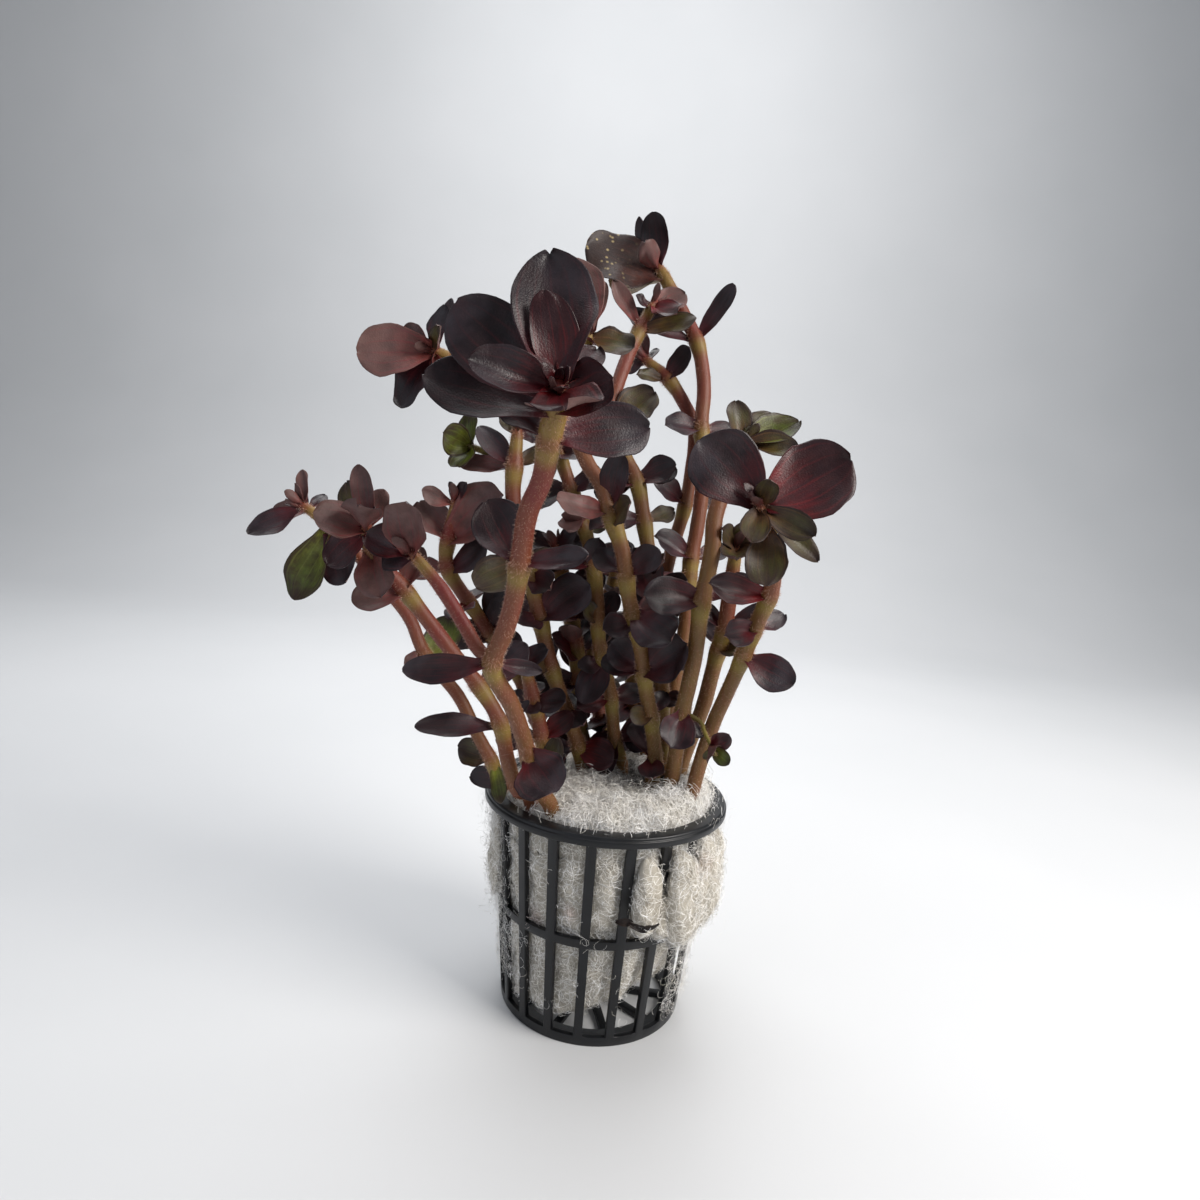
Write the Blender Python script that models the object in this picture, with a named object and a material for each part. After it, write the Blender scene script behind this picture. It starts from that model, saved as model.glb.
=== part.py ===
"""A bacopa in its net pot: leafy stems stand in filter wool, packed in a black basket pot.

The plant stands upright with +Z up. The origin is under the middle of the pot's base, and the
side with the biggest leaf head faces -Y. Lengths and angles here are millimetres and degrees,
and every mesh is scaled to metres when its object is made.
"""

import itertools
import math

import bmesh
import bpy
import numpy as np
from mathutils import Matrix, Vector
from mathutils.bvhtree import BVHTree

MM = 0.001
SHARP_ANGLE = 50.0

# Net pot
RIM_RADIUS = 25.0
RIM_BOTTOM = 43.1
RIM_TOP = 45.1
RIM_ROUND = 0.5
WALL_TOP_RADIUS = 22.9
WALL_BASE_RADIUS = 18.9
WALL_THICKNESS = 1.2
BAR_COUNT = 19
BAR_WIDTH = 1.85
FIRST_BAR = -5.9
BASE_RING_TOP = 2.0
BASE_RING_INSIDE = 15.5
BASE_THICKNESS = 1.4
MID_RING_BOTTOM = 21.1
MID_RING_TOP = 22.9
SPOKE_COUNT = 10
SPOKE_WIDTH = 1.6
SPOKE_LIFT = 0.15
SPOKE_OVERLAP = 1.0
FIRST_SPOKE = 12.3
HUB_RADIUS = 4.0
HUB_SIDES = 16

# Filter wool: height, and width as a share of the room inside the pot's wall
WOOL_PROFILE = [(9.0, 0.45), (10.5, 0.88), (18.0, 1.0), (42.0, 1.0), (46.5, 0.95), (49.0, 0.66)]
WOOL_CROWN = 50.0
WOOL_SIDES = 14
WOOL_CLEARANCE = 0.4
WOOL_LUMP = 0.05
WOOL_LEAN = 0.12
WOOL_LEAN_FROM = 38.0
WOOL_SAG = 3.2
WOOL_SAG_LEAN = 0.2
WOOL_SAG_BELOW = 12.0
WOOL_SAG_SIDE = -28.0
# Tufts that bulge out between the bars: slot, middle height, reach from the axis, half height
WOOL_TUFTS = [
    (1, 32.0, 25.0, 7.5), (2, 31.5, 26.6, 8.4), (3, 32.5, 26.4, 8.4), (4, 33.0, 25.2, 7.5),
    (-4, 32.0, 23.8, 8.0), (-5, 31.0, 24.0, 8.0), (7, 32.0, 24.0, 8.0), (-8, 33.0, 24.0, 8.0),
]
TUFT_HALF_WIDTH = 2.1
TUFT_ROOT = 16.5

# Stems
STEM_SIDES = 5
STEM_SAMPLE = 2.0
STEM_RING_EVERY = 12.0
STEM_GAP = 1.2
STEM_TAPER = 8.0
STEM_TIP_SHARE = 0.5
PARTING_ROUNDS = 80
POT_MOUTH = 46.0
POCKET_GAP = 0.35
FORK_ROOT = 3

# Leaves: the least length for each outline, then shares of that length and of the half width there
LEAF_OUTLINES = [
    (12.0, [(0.0, 0.2), (0.3, 0.66), (0.66, 1.0), (0.9, 0.7)]),
    (7.5, [(0.0, 0.22), (0.5, 0.94), (0.86, 0.8)]),
    (0.0, [(0.0, 0.25), (0.6, 1.0)]),
]
LEAF_ROOT = 0.3
LEAF_KEEL = 0.7
KEEL_FADE = 0.3
LEAF_CURL = 0.1
LEAF_GAP = 0.3
FREE_PART = 0.35
LIGHT_PULL = 1.6
LEAST_FACING = 0.5
LEAF_SWINGS = (0, 12, -12, 24, -24, 36, -36)
LEAF_SIZES = (1.0, 0.85, 0.7)

# One entry for each shoot: stem radius, the points that its stem passes from the foot up, and its
# leaves. A leaf is its place along the stem, heading (0 is +X, 90 is +Y), rise above level, length,
# the length of the leaf opposite (0 for none), roll about its own midrib, and width over length.
SHOOTS = {
    "front_shoot": (
        1.6,
        [(-6, -8, 22), (-10, -16, 45), (-13, -19, 51), (-15, -21, 58), (-18, -26, 68), (-21.5, -31, 75.5),
         (-19.5, -33, 82), (-18, -36, 88), (-17, -40, 95), (-16, -43, 102), (-14, -46, 107),
         (-13, -50, 113), (-12, -53, 117), (-12, -57, 119)],
        [
            (39, -48, -20, 9.5, 0, 0, 1.05), (62, -170, -12, 14, 8, 0, .36), (82, -15, 12, 11, 0, 0, .36),
            (82, 150, 45, 10.5, 0, 0, .8),
            (104, 20, 15, 13.5, 0, 0, .62), (104, 165, 30, 9.5, 0, 0, .5),
            (107, 170, 10, 17.5, 0, 12, .55), (107, -25, 30, 9, 0, 0, .85), (110, 165, 40, 18, 0, 0, .62),
            (110, 0, 85, 13, 0, 0, .5), (113, 130, 55, 18.5, 0, 0, .6), (113, -80, -25, 9.5, 0, 0, 1),
            (113, -160, 15, 11.5, 0, 0, .5), (113, 60, 55, 9.5, 0, 0, .6),
        ],
    ),
    "left_front_branch": (
        1.25,
        [(-23, -30.5, 77), (-26.5, -29, 82), (-31, -28, 88), (-36, -27, 93), (-37, -28, 94)],
        [
            (21, -100, 70, 9.5, 6, 0, .95), (20, 160, 15, 9.5, 0, 0, .6),
        ],
    ),
    "left_shoot": (
        1.45,
        [(-11, -7, 22), (-14.5, -12.5, 46), (-17, -18, 49), (-19, -20, 55), (-21, -20, 63),
         (-25, -19, 69), (-31, -18, 76), (-36, -18, 82), (-40, -19, 87), (-44, -21, 91), (-45, -23, 95),
         (-45, -25, 98)],
        [
            (46, -165, 4, 14.5, 7, 0, .32), (54, 30, 45, 11.5, 0, 0, .6), (76, -155, -10, 9, 8, 0, .7),
            (86, -60, -50, 9.5, 0, 0, .7), (91, -145, 15, 9, 0, 0, .75), (91, 45, 65, 7, 0, 0, .6),
            (92, 150, 50, 8.5, 0, 0, .6), (92, 180, 85, 10.5, 0, 0, .4), (90, -160, -45, 8.5, 0, 0, .8),
            (90, -50, -15, 8.5, 0, 0, .8),
        ],
    ),
    "far_left_shoot": (
        1.3,
        [(-13, -3, 22), (-17.5, -8, 46), (-21, -12, 48), (-23, -14, 53), (-26, -13, 58), (-30, -12, 65),
         (-37, -10, 72), (-41, -8, 79), (-47, -6, 85), (-55, -5, 93), (-59, -5, 96), (-62, -6, 98),
         (-64, -6, 99)],
        [
            (37, 165, 5, 7, 0, 0, .8), (36, -55, -45, 8.5, 0, 0, .4), (29, 150, -30, 9.5, 0, 0, .5),
            (60, -155, -5, 4.5, 9, 0, 1), (91, -145, -70, 14.5, 0, 0, .7),
            (91, -35, -50, 11.5, 0, 0, .7), (98, -160, -30, 11, 0, 0, .55), (98, 115, 65, 8, 0, 0, .35),
            (99, 180, 65, 5, 0, 0, .35), (100, 150, -10, 9, 0, 0, .5), (100, 60, 30, 5.5, 0, 0, .5),
        ],
    ),
    "upper_left_shoot": (
        1.4,
        [(0, 2, 22), (3, 2, 47), (1, 0, 55), (-1, -2, 66), (-4, -3, 76), (-5, -2, 84), (-7, 0, 93),
         (-10, 2, 101), (-14, 4, 110), (-18, 6, 118), (-27, 8, 125), (-36, 6, 129), (-42, 4, 131),
         (-43, 3, 131)],
        [
            (54, -120, -65, 11, 8, 0, .6), (73, -160, 5, 8.5, 9, 0, .6), (83, 40, -35, 7.5, 8, 0, .6),
            (113, 115, -55, 7.5, 7, 0, .7), (131, -170, -5, 14.5, 0, 0, .75),
            (130, -155, -65, 12.5, 0, 0, .8), (131, 150, 25, 9, 0, 0, .6), (131, 0, -65, 8, 0, 0, .7),
            (131, 60, 75, 9, 0, 0, .6), (131, 85, 70, 13, 0, 0, .3), (131, -70, 35, 6.5, 0, 0, .6),
        ],
    ),
    "green_head_shoot": (
        1.5,
        [(4, -4, 22), (9, -3, 49), (8, -5, 60), (6, -8, 68), (4, -10, 77), (1, -12, 86), (-1, -13, 95),
         (-4, -14, 102), (-6, -13, 107), (-9, -11, 111), (-12, -6, 117), (-13, -1, 124), (-12, 3, 132),
         (-11, 5, 137), (-11, 5, 139)],
        [
            (53, -40, 35, 12, 8, 0, .8), (65, -50, -20, 11, 0, 0, .8), (83, -155, 0, 10.5, 0, 0, .55),
            (84, -70, 75, 11, 0, 0, .5), (103, 150, -30, 7.5, 7, 0, .6), (124, 135, 65, 17, 0, 0, .62),
            (127, 45, 65, 10.5, 0, 0, .3), (125, -10, -10, 9.5, 0, 0, .8), (127, -60, 30, 4, 0, 0, .9),
            (125, -100, -55, 7, 0, 0, .8),
        ],
    ),
    "second_top_shoot": (
        1.5,
        [(7, 3, 22), (11, 3.5, 48), (10, 0, 65), (8, -2, 75), (6, -3, 88), (4, -3, 96), (1, -2, 108),
         (-2, 0, 113), (-6, 4, 119), (-5, 8, 126), (-3, 12, 134), (-1, 15, 140), (1, 17, 145),
         (2, 17, 147)],
        [
            (63, -35, 35, 9, 0, 0, .8), (63, -135, 50, 13, 0, 0, .6), (88, -15, 25, 8.5, 8, 0, .7),
            (102, 15, 40, 10.5, 8, 0, .8), (126, 165, 50, 11.5, 0, 0, .35),
            (126, -10, 10, 11.5, 0, 0, .5), (134, 35, 25, 8, 0, 0, .8), (134, -150, 20, 4, 0, 0, .8),
            (134, -45, -30, 8, 0, 0, .9),
        ],
    ),
    "top_shoot": (
        1.6,
        [(11, 6, 22), (14, 8.5, 47), (13, 8, 55), (13, 8, 65), (14, 8, 78), (14, 9, 92), (15, 10, 103),
         (15, 12, 112), (14, 14, 122), (14, 17, 130), (12, 19, 139), (8, 21, 146), (3, 22, 154),
         (1, 22, 156)],
        [
            (68, -135, -10, 15, 0, 0, .7), (71, -160, 25, 10, 8, 0, .6), (99, -160, 0, 8.5, 9, 0, .8),
            (119, -10, 60, 13.5, 0, 0, .32), (119, -165, 30, 15.5, 0, 0, .3),
            (137, -170, 10, 17.5, 0, 0, .8), (137, 160, -15, 11.5, 0, 0, .6),
            (139, 165, 50, 11.5, 0, 0, .4), (139, -130, 75, 11, 0, 0, .62),
            (139, -120, 25, 7.5, 0, 0, .7),
        ],
    ),
    "third_top_shoot": (
        1.5,
        [(6, 8, 22), (8, 11, 46), (7, 12, 61), (8, 12, 75), (9, 13, 86), (10, 14, 94), (12, 15, 103),
         (13, 16, 112), (13, 19, 121), (10, 21, 127), (6, 22, 132), (3, 22, 134), (0, 21, 136)],
        [
            (62, -20, 20, 9, 8, 0, .7), (83, -150, 30, 9.5, 8, 0, .6), (114, -35, 50, 8.5, 0, 0, .62),
            (114, -155, 5, 7, 0, 0, .5), (121, 150, 60, 7, 0, 0, .7), (121, 180, -20, 5.5, 0, 0, .7),
            (121, 65, 40, 5.5, 0, 0, .4),
        ],
    ),
    "right_shoot": (
        1.5,
        [(14, -8, 22), (16.5, -10, 48), (19, -9, 62), (21, -11, 70), (23, -14, 79), (24, -17, 85),
         (25, -21, 91), (24, -26, 97), (21, -30, 103), (19, -33, 107)],
        [
            (58, -20, -25, 10, 0, 0, .7), (65, 35, 20, 7, 9, 0, .6), (73, -165, 5, 11, 0, 0, .5),
            (94, 5, 30, 15.5, 0, 0, .85), (93, 170, 45, 14, 0, 0, .85), (92, -30, -25, 9.5, 0, 0, .5),
            (87, -75, -65, 10, 0, 0, .7), (91, 0, -50, 12, 0, 0, .35), (94, -110, -40, 8, 0, 0, .6),
            (94, -95, 35, 7.5, 0, 0, .5),
        ],
    ),
    "right_inner_shoot": (
        1.6,
        [(11, -1, 22), (14.5, -1, 49), (16, -2, 57), (18, -4, 66), (19, -6, 75), (20, -7, 81),
         (20, -9, 89), (20, -10, 97), (20, -11, 99)],
        [
            (61, -15, 35, 9.5, 7, 0, .45), (55, -55, 10, 6.5, 6, 0, .7), (79, -75, 60, 6.5, 0, 0, .8),
            (79, -135, 45, 8, 0, 0, .5), (79, -105, 30, 8, 0, 0, .8),
        ],
    ),
    "right_rear_shoot": (
        1.6,
        [(9, -6, 22), (12.5, -7, 49), (13, -8, 63), (14, -13, 76), (14, -17, 87), (15, -18, 97),
         (15, -16, 103), (17, -12, 110), (19, -9, 116), (20, -8, 118)],
        [
            (45, -115, -45, 7.5, 0, 0, 1), (45, 0, -25, 5.5, 0, 0, .6), (67, -160, 5, 12, 0, 0, .62),
            (67, 15, 30, 9.5, 0, 0, .45), (101, 125, 70, 8, 0, 0, .7), (101, 15, 25, 11.5, 0, 0, .6),
            (101, 45, 50, 10.5, 0, 0, .6), (101, -10, 0, 10, 0, 0, .6), (101, -155, 20, 5, 0, 0, .6),
        ],
    ),
    "centre_left_shoot": (
        1.6,
        [(-4, 1, 22), (-5, 0, 48), (-9, -3, 60), (-13, -4, 70), (-16, -4, 80), (-19, -5, 90),
         (-22, -6, 99), (-23, -6, 105), (-23, -6, 109), (-23, -5, 114), (-23, -4, 117)],
        [
            (59, -25, 40, 13, 8, 0, .7), (73, -140, -30, 11.5, 9, 0, .7), (90, 165, 40, 10.5, 0, 0, .5),
            (90, 20, 35, 7.5, 0, 0, .5), (90, 160, -5, 12, 0, 0, .35), (98, 145, 45, 5, 0, 0, .7),
            (98, 30, 5, 4, 0, 0, .8), (98, 50, 65, 6, 0, 0, .6),
        ],
    ),
    "green_bud_branch": (
        0.9,
        [(-25.7, -1, 109.3), (-29, 0, 111.6), (-32.2, 0, 112.5), (-34.2, 0, 113.2)],
        [
            (9, -140, 15, 6.5, 0, 0, 1), (9, -55, 65, 6, 0, 0, .9), (9, -100, -40, 6.5, 0, 0, .9),
        ],
    ),
    "left_rear_shoot": (
        1.5,
        [(-9, 5, 22), (-11, 6, 46), (-16, 4, 57), (-20, 3, 66), (-25, 2, 73), (-31, 2, 81), (-36, 2, 88),
         (-36, 1, 94), (-35, 0, 100), (-35, 0, 103)],
        [
            (55, -125, 70, 12.5, 8, 0, .6), (74, -30, 30, 11.5, 9, 0, .6), (81, -25, 25, 16, 10, 0, .75),
            (88, -160, 15, 6.5, 0, 0, .6), (88, 115, 50, 5, 0, 0, .3), (88, 25, 35, 6, 0, 0, .6),
            (88, -50, 50, 6, 0, 0, .4),
        ],
    ),
    "inner_left_shoot": (
        1.6,
        [(-4, 6, 22), (-4, 5.5, 46), (-7, 4, 58), (-8, 3, 69), (-10, 3, 79), (-13, 4, 89), (-15, 4, 95)],
        [
            (43, -130, -5, 10, 8, 0, .8), (50, -115, -5, 10, 8, 0, .7), (58, -35, 35, 8.5, 9, 0, .7),
            (68, -155, 20, 7.5, 9, 0, .7), (74, -35, 45, 7, 8, 0, .7),
        ],
    ),
    "inner_rear_shoot": (
        1.5,
        [(1, 8, 22), (1, 9, 46), (-2, 10, 56), (-5, 9, 68), (-4, 9, 79), (-2, 10, 87), (-2, 10, 92)],
        [
            (36, -85, -30, 9, 8, 0, .8), (47, -120, 50, 9, 8, 0, .7), (57, -150, 20, 8, 9, 0, .7),
            (67, -35, 25, 7, 9, 0, .7), (71, -130, 50, 6, 7, 0, .7),
        ],
    ),
    "inner_right_shoot": (
        1.6,
        [(6, 12.5, 22), (6, 15, 46), (5, 15, 56), (4, 16, 65), (1, 16, 72), (3, 15, 83), (4, 14, 90)],
        [
            (38, -130, -15, 8, 8, 0, .7), (50, -35, -5, 10, 8, 0, .7), (62, -35, 25, 8, 9, 0, .7),
            (69, -145, 50, 7.5, 7, 0, .7),
        ],
    ),
    "low_left_shoot": (
        1.5,
        [(-8, -1, 22), (-12, -5, 47), (-14, -8, 58), (-16, -9, 65), (-18, -9, 71), (-20, -9, 73)],
        [
            (44, -40, 10, 8, 7, 0, .7), (52, -160, 35, 7.5, 7, 0, .6), (54, -30, 35, 7, 7, 0, .7),
            (26, -15, 30, 12, 0, 0, .4), (27, -65, 55, 10, 0, 0, .5),
        ],
    ),
    "side_plantlet": (
        0.5,
        [(16.1, -9, 64.8), (17.5, -14, 62.2), (19.3, -17, 59.3)],
        [
            (10, -35, 40, 4.5, 0, 0, .9), (10, -35, -35, 4.5, 0, 0, .7), (10, 140, -60, 3, 0, 0, .5),
            (10, -100, 0, 5, 0, 0, .8),
        ],
    ),
}

# Small side growths, each one piece with the shoot it grows from, and a fork that is its own piece
SIDE_GROWTHS = {"green_bud_branch": "centre_left_shoot", "side_plantlet": "right_rear_shoot"}
FORKS = {"left_front_branch": "front_shoot"}
PARENTS = SIDE_GROWTHS | FORKS

GREEN_SHOOTS = ("green_head_shoot", "right_rear_shoot", "centre_left_shoot")

PLASTIC_BLACK = (0.009, 0.010, 0.012)
WOOL_WHITE = (0.62, 0.60, 0.56)
SHOOT_PURPLE = (0.090, 0.030, 0.026)
SHOOT_OLIVE = (0.110, 0.075, 0.022)


def clear_scene():
    for old in list(bpy.data.objects):
        bpy.data.objects.remove(old, do_unlink=True)


def material(name, colour, roughness):
    made = bpy.data.materials.new(name)
    made.use_nodes = True
    shader = made.node_tree.nodes["Principled BSDF"]
    shader.inputs["Base Color"].default_value = (*colour, 1.0)
    shader.inputs["Roughness"].default_value = roughness
    shader.inputs["Metallic"].default_value = 0.0
    return made


def add_object(name, points, faces, finish, smooth=True):
    """A mesh object of these millimetre points, facing out, in metres."""
    bm = bmesh.new()
    verts = [bm.verts.new(Vector(p) * MM) for p in points]
    for face in faces:
        bm.faces.new([verts[i] for i in face])
    bmesh.ops.recalc_face_normals(bm, faces=bm.faces)
    mesh = bpy.data.meshes.new(name)
    bm.to_mesh(mesh)
    bm.free()
    if smooth:
        mesh.shade_smooth()
        mesh.set_sharp_from_angle(angle=math.radians(SHARP_ANGLE))
    made = bpy.data.objects.new(name, mesh)
    made.data.materials.append(finish)
    bpy.context.scene.collection.objects.link(made)
    return made


def hide_helper(helper):
    helper.hide_render = True
    helper.display_type = "WIRE"


def boolean(target, others, operation):
    """Joins the helpers to the target, or cuts them from it, with one collection Boolean."""
    group = bpy.data.collections.new(target.name + "_" + operation.lower())
    for other in others:
        group.objects.link(other)
        hide_helper(other)
    modifier = target.modifiers.new(operation.title(), "BOOLEAN")
    modifier.operation = operation
    modifier.operand_type = "COLLECTION"
    modifier.collection = group
    modifier.solver = "EXACT"


def around(azimuth, radius, height):
    """A point at this azimuth: 0 faces -Y and the angle grows towards +X."""
    turn = math.radians(azimuth)
    return (radius * math.sin(turn), -radius * math.cos(turn), height)


def bridge(first, second):
    """Quads between two closed rows of vertex numbers."""
    count = len(first)
    return [(first[i], first[(i + 1) % count], second[(i + 1) % count], second[i]) for i in range(count)]


def wall_radius(height):
    return WALL_BASE_RADIUS + (WALL_TOP_RADIUS - WALL_BASE_RADIUS) * height / RIM_BOTTOM


def bar_edges():
    """Azimuths of every bar's two edges, in order round the pot."""
    half = math.degrees(BAR_WIDTH / (WALL_TOP_RADIUS + WALL_BASE_RADIUS))
    middles = [FIRST_BAR + 360.0 * bar / BAR_COUNT for bar in range(BAR_COUNT)]
    return [middle + side for middle in middles for side in (-half, half)]


def basket_shell():
    """Rings and bars of the pot as one shell: points and faces, open where the slots are."""
    edges = bar_edges()
    levels = [0.0, BASE_RING_TOP, MID_RING_BOTTOM, MID_RING_TOP, RIM_BOTTOM]
    inside_levels = [BASE_THICKNESS] + levels[1:]
    rim = [
        (RIM_RADIUS, RIM_BOTTOM),
        (RIM_RADIUS, RIM_TOP - RIM_ROUND),
        (RIM_RADIUS - RIM_ROUND, RIM_TOP),
        (WALL_TOP_RADIUS - WALL_THICKNESS, RIM_TOP),
    ]
    foot = [(BASE_RING_INSIDE, BASE_THICKNESS), (BASE_RING_INSIDE, 0.0)]
    points = []

    def row(radius, height):
        start = len(points)
        points.extend(around(edge, radius, height) for edge in edges)
        return list(range(start, len(points)))

    outer = [row(wall_radius(z), z) for z in levels]
    inner = [row(wall_radius(z) - WALL_THICKNESS, z) for z in inside_levels]
    rim_rows = [row(radius, z) for radius, z in rim]
    foot_rows = [row(radius, z) for radius, z in foot]
    faces = []
    loops = [outer[-1]] + rim_rows + [inner[-1]]
    for low, high in zip(loops, loops[1:]):
        faces += bridge(low, high)
    loops = [inner[0]] + foot_rows + [outer[0]]
    for low, high in zip(loops, loops[1:]):
        faces += bridge(low, high)
    for wall in (outer, inner):
        faces += bridge(wall[0], wall[1])
        faces += bridge(wall[2], wall[3])
        for low in (1, 3):
            quads = bridge(wall[low], wall[low + 1])
            faces += quads[::2]
    for low in (1, 3):
        for edge in range(len(edges)):
            side = (outer[low][edge], inner[low][edge], inner[low + 1][edge], outer[low + 1][edge])
            faces.append(side)
    for level in (1, 2, 3, 4):
        quads = bridge(outer[level], inner[level])
        faces += quads[1::2]
    return points, faces


def prism(outline, low, high):
    """A closed solid from a flat outline, standing between two heights."""
    count = len(outline)
    points = [(x, y, low) for x, y in outline] + [(x, y, high) for x, y in outline]
    faces = [tuple(range(count)), tuple(range(count, 2 * count))]
    return points, faces + bridge(list(range(count)), list(range(count, 2 * count)))


def spoke_outline(azimuth):
    inside, outside = HUB_RADIUS - SPOKE_OVERLAP, BASE_RING_INSIDE + SPOKE_OVERLAP
    half = SPOKE_WIDTH / 2
    turn = Matrix.Rotation(math.radians(azimuth), 2)
    corners = [(-half, -inside), (half, -inside), (half, -outside), (-half, -outside)]
    return [tuple(turn @ Vector(corner)) for corner in corners]


def make_net_pot(plastic):
    pot = add_object("net_pot", *basket_shell(), plastic)
    hub_outline = [around(360.0 * i / HUB_SIDES, HUB_RADIUS, 0.0)[:2] for i in range(HUB_SIDES)]
    helpers = [add_object("pot_hub", *prism(hub_outline, 0.0, BASE_THICKNESS), plastic)]
    for spoke in range(SPOKE_COUNT):
        outline = spoke_outline(FIRST_SPOKE + 360.0 * spoke / SPOKE_COUNT)
        solid = prism(outline, SPOKE_LIFT, BASE_THICKNESS - SPOKE_LIFT)
        helpers.append(add_object("pot_spoke_%d" % spoke, *solid, plastic))
    boolean(pot, helpers, "UNION")
    return pot


def catmull_rom(before, start, end, after, share):
    """A point on the smooth curve between start and end."""
    squared, cubed = share * share, share * share * share
    return 0.5 * (
        2 * start
        + (end - before) * share
        + (2 * before - 5 * start + 4 * end - after) * squared
        + (3 * start - before - 3 * end + after) * cubed
    )


def smooth_line(route):
    """Evenly spaced samples of the smooth curve through a route's points."""
    knots = [np.array(point, float) for point in route]
    knots = [2 * knots[0] - knots[1]] + knots + [2 * knots[-1] - knots[-2]]
    fine = []
    for before, start, end, after in zip(knots, knots[1:], knots[2:], knots[3:]):
        fine += [catmull_rom(before, start, end, after, step / 8) for step in range(8)]
    fine.append(knots[-2])
    fine = np.array(fine)
    run = np.concatenate([[0.0], np.cumsum(np.linalg.norm(np.diff(fine, axis=0), axis=1))])
    count = max(3, round(run[-1] / STEM_SAMPLE) + 1)
    wanted = np.linspace(0.0, run[-1], count)
    return np.stack([np.interp(wanted, run, fine[:, axis]) for axis in range(3)], axis=1)


def part_stems(lines, radii):
    """Where two stems would run through each other they lean apart, one forward and one back."""
    names = list(lines)
    for _ in range(PARTING_ROUNDS):
        pushes = {name: np.zeros(len(lines[name])) for name in names}
        for one, two in itertools.combinations(names, 2):
            if PARENTS.get(one) == two or PARENTS.get(two) == one:
                continue
            apart = lines[two][None] - lines[one][:, None]
            reach = radii[one] + radii[two] + STEM_GAP
            room = np.maximum(reach**2 - apart[..., 0] ** 2 - apart[..., 2] ** 2, 0.0)
            short = np.where(room > 0, np.sqrt(room) - np.abs(apart[..., 1]), 0.0)
            short = np.maximum(short, 0.0)
            way = np.sign(apart[..., 1].sum() + 1e-9)
            push = 0.5 * short * np.where(apart[..., 1] == 0, way, np.sign(apart[..., 1]))
            first, second = np.abs(push).argmax(axis=1), np.abs(push).argmax(axis=0)
            pushes[one] -= push[np.arange(len(push)), first]
            pushes[two] += push[second, np.arange(push.shape[1])]
        for name, push in pushes.items():
            spread = np.convolve(np.pad(push, 3, mode="edge"), np.ones(7) / 7, mode="valid")
            lines[name][:, 1] += np.where(np.abs(spread) > np.abs(push), spread, push)
            eased = lines[name][:, 1].copy()
            eased[1:-1] = 0.5 * eased[1:-1] + 0.25 * (eased[:-2] + eased[2:])
            lines[name][:, 1] = eased
    for branch, parent in PARENTS.items():
        nearest = np.linalg.norm(lines[parent] - lines[branch][0], axis=1).argmin()
        lines[branch][0] = lines[parent][nearest]


def tangent(line, index):
    low, high = max(index - 1, 0), min(index + 1, len(line) - 1)
    step = line[high] - line[low]
    return step / np.linalg.norm(step)


def stem_radius(radius, line, index):
    """The stem's radius at a sample: even, then tapering over its last stretch."""
    left = (len(line) - 1 - index) * STEM_SAMPLE
    return radius * min(1.0, STEM_TIP_SHARE + (1 - STEM_TIP_SHARE) * left / STEM_TAPER)


def ring_samples(line):
    """Which samples carry a ring: the foot, one just over the pot's rim, then every few."""
    above = [i for i, point in enumerate(line) if point[2] > POT_MOUTH]
    every = round(STEM_RING_EVERY / STEM_SAMPLE)
    if line[0][2] > POT_MOUTH:
        chosen = list(range(0, len(line) - 1, max(1, every // 2)))
    else:
        chosen = [0] + above[: -1 : every]
    if len(line) - 1 - chosen[-1] < 2 and len(chosen) > 2:
        chosen.pop()
    return chosen + [len(line) - 1]


def tube(centres, sizes):
    """A closed tube with a ring of this size round each of these centres."""
    across = np.array([0.0, 1.0, 0.0])
    points, faces, rows = [], [], []
    for index, (centre, size) in enumerate(zip(centres, sizes)):
        along = tangent(centres, index)
        across = across - along * across.dot(along)
        across /= np.linalg.norm(across)
        other = np.cross(along, across)
        start = len(points)
        for side in range(STEM_SIDES):
            turn = 2 * math.pi * side / STEM_SIDES
            points.append(tuple(centre + size * (math.cos(turn) * across + math.sin(turn) * other)))
        rows.append(list(range(start, len(points))))
    for low, high in zip(rows, rows[1:]):
        faces += bridge(low, high)
    faces += [tuple(rows[0]), tuple(rows[-1])]
    return points, faces


def stem_tube(line, radius, grow=0.0):
    rings = ring_samples(line)
    return tube([line[i] for i in rings], [stem_radius(radius, line, i) + grow for i in rings])


def tube_middle(line, index):
    """The middle of the stem's tube at a sample: on the straight between the rings either side."""
    rings = ring_samples(line)
    return np.array([np.interp(index, rings, [line[i][axis] for i in rings]) for axis in range(3)])


def heading_vector(heading, rise):
    turn, lift = math.radians(heading), math.radians(rise)
    return np.array([math.cos(lift) * math.cos(turn), math.cos(lift) * math.sin(turn), math.sin(lift)])


def upper_side(way, stem_way, roll):
    """The way a leaf's upper side faces: between the stem's tip and the light, which is at the front."""
    facing = stem_way + np.array([0.0, -LIGHT_PULL, 0.0])
    if np.linalg.norm(np.cross(facing, way)) < LEAST_FACING:
        facing = stem_way
    normal = facing - way * facing.dot(way)
    normal /= np.linalg.norm(normal)
    turn = math.radians(roll)
    return math.cos(turn) * normal + math.sin(turn) * np.cross(way, normal)


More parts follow.
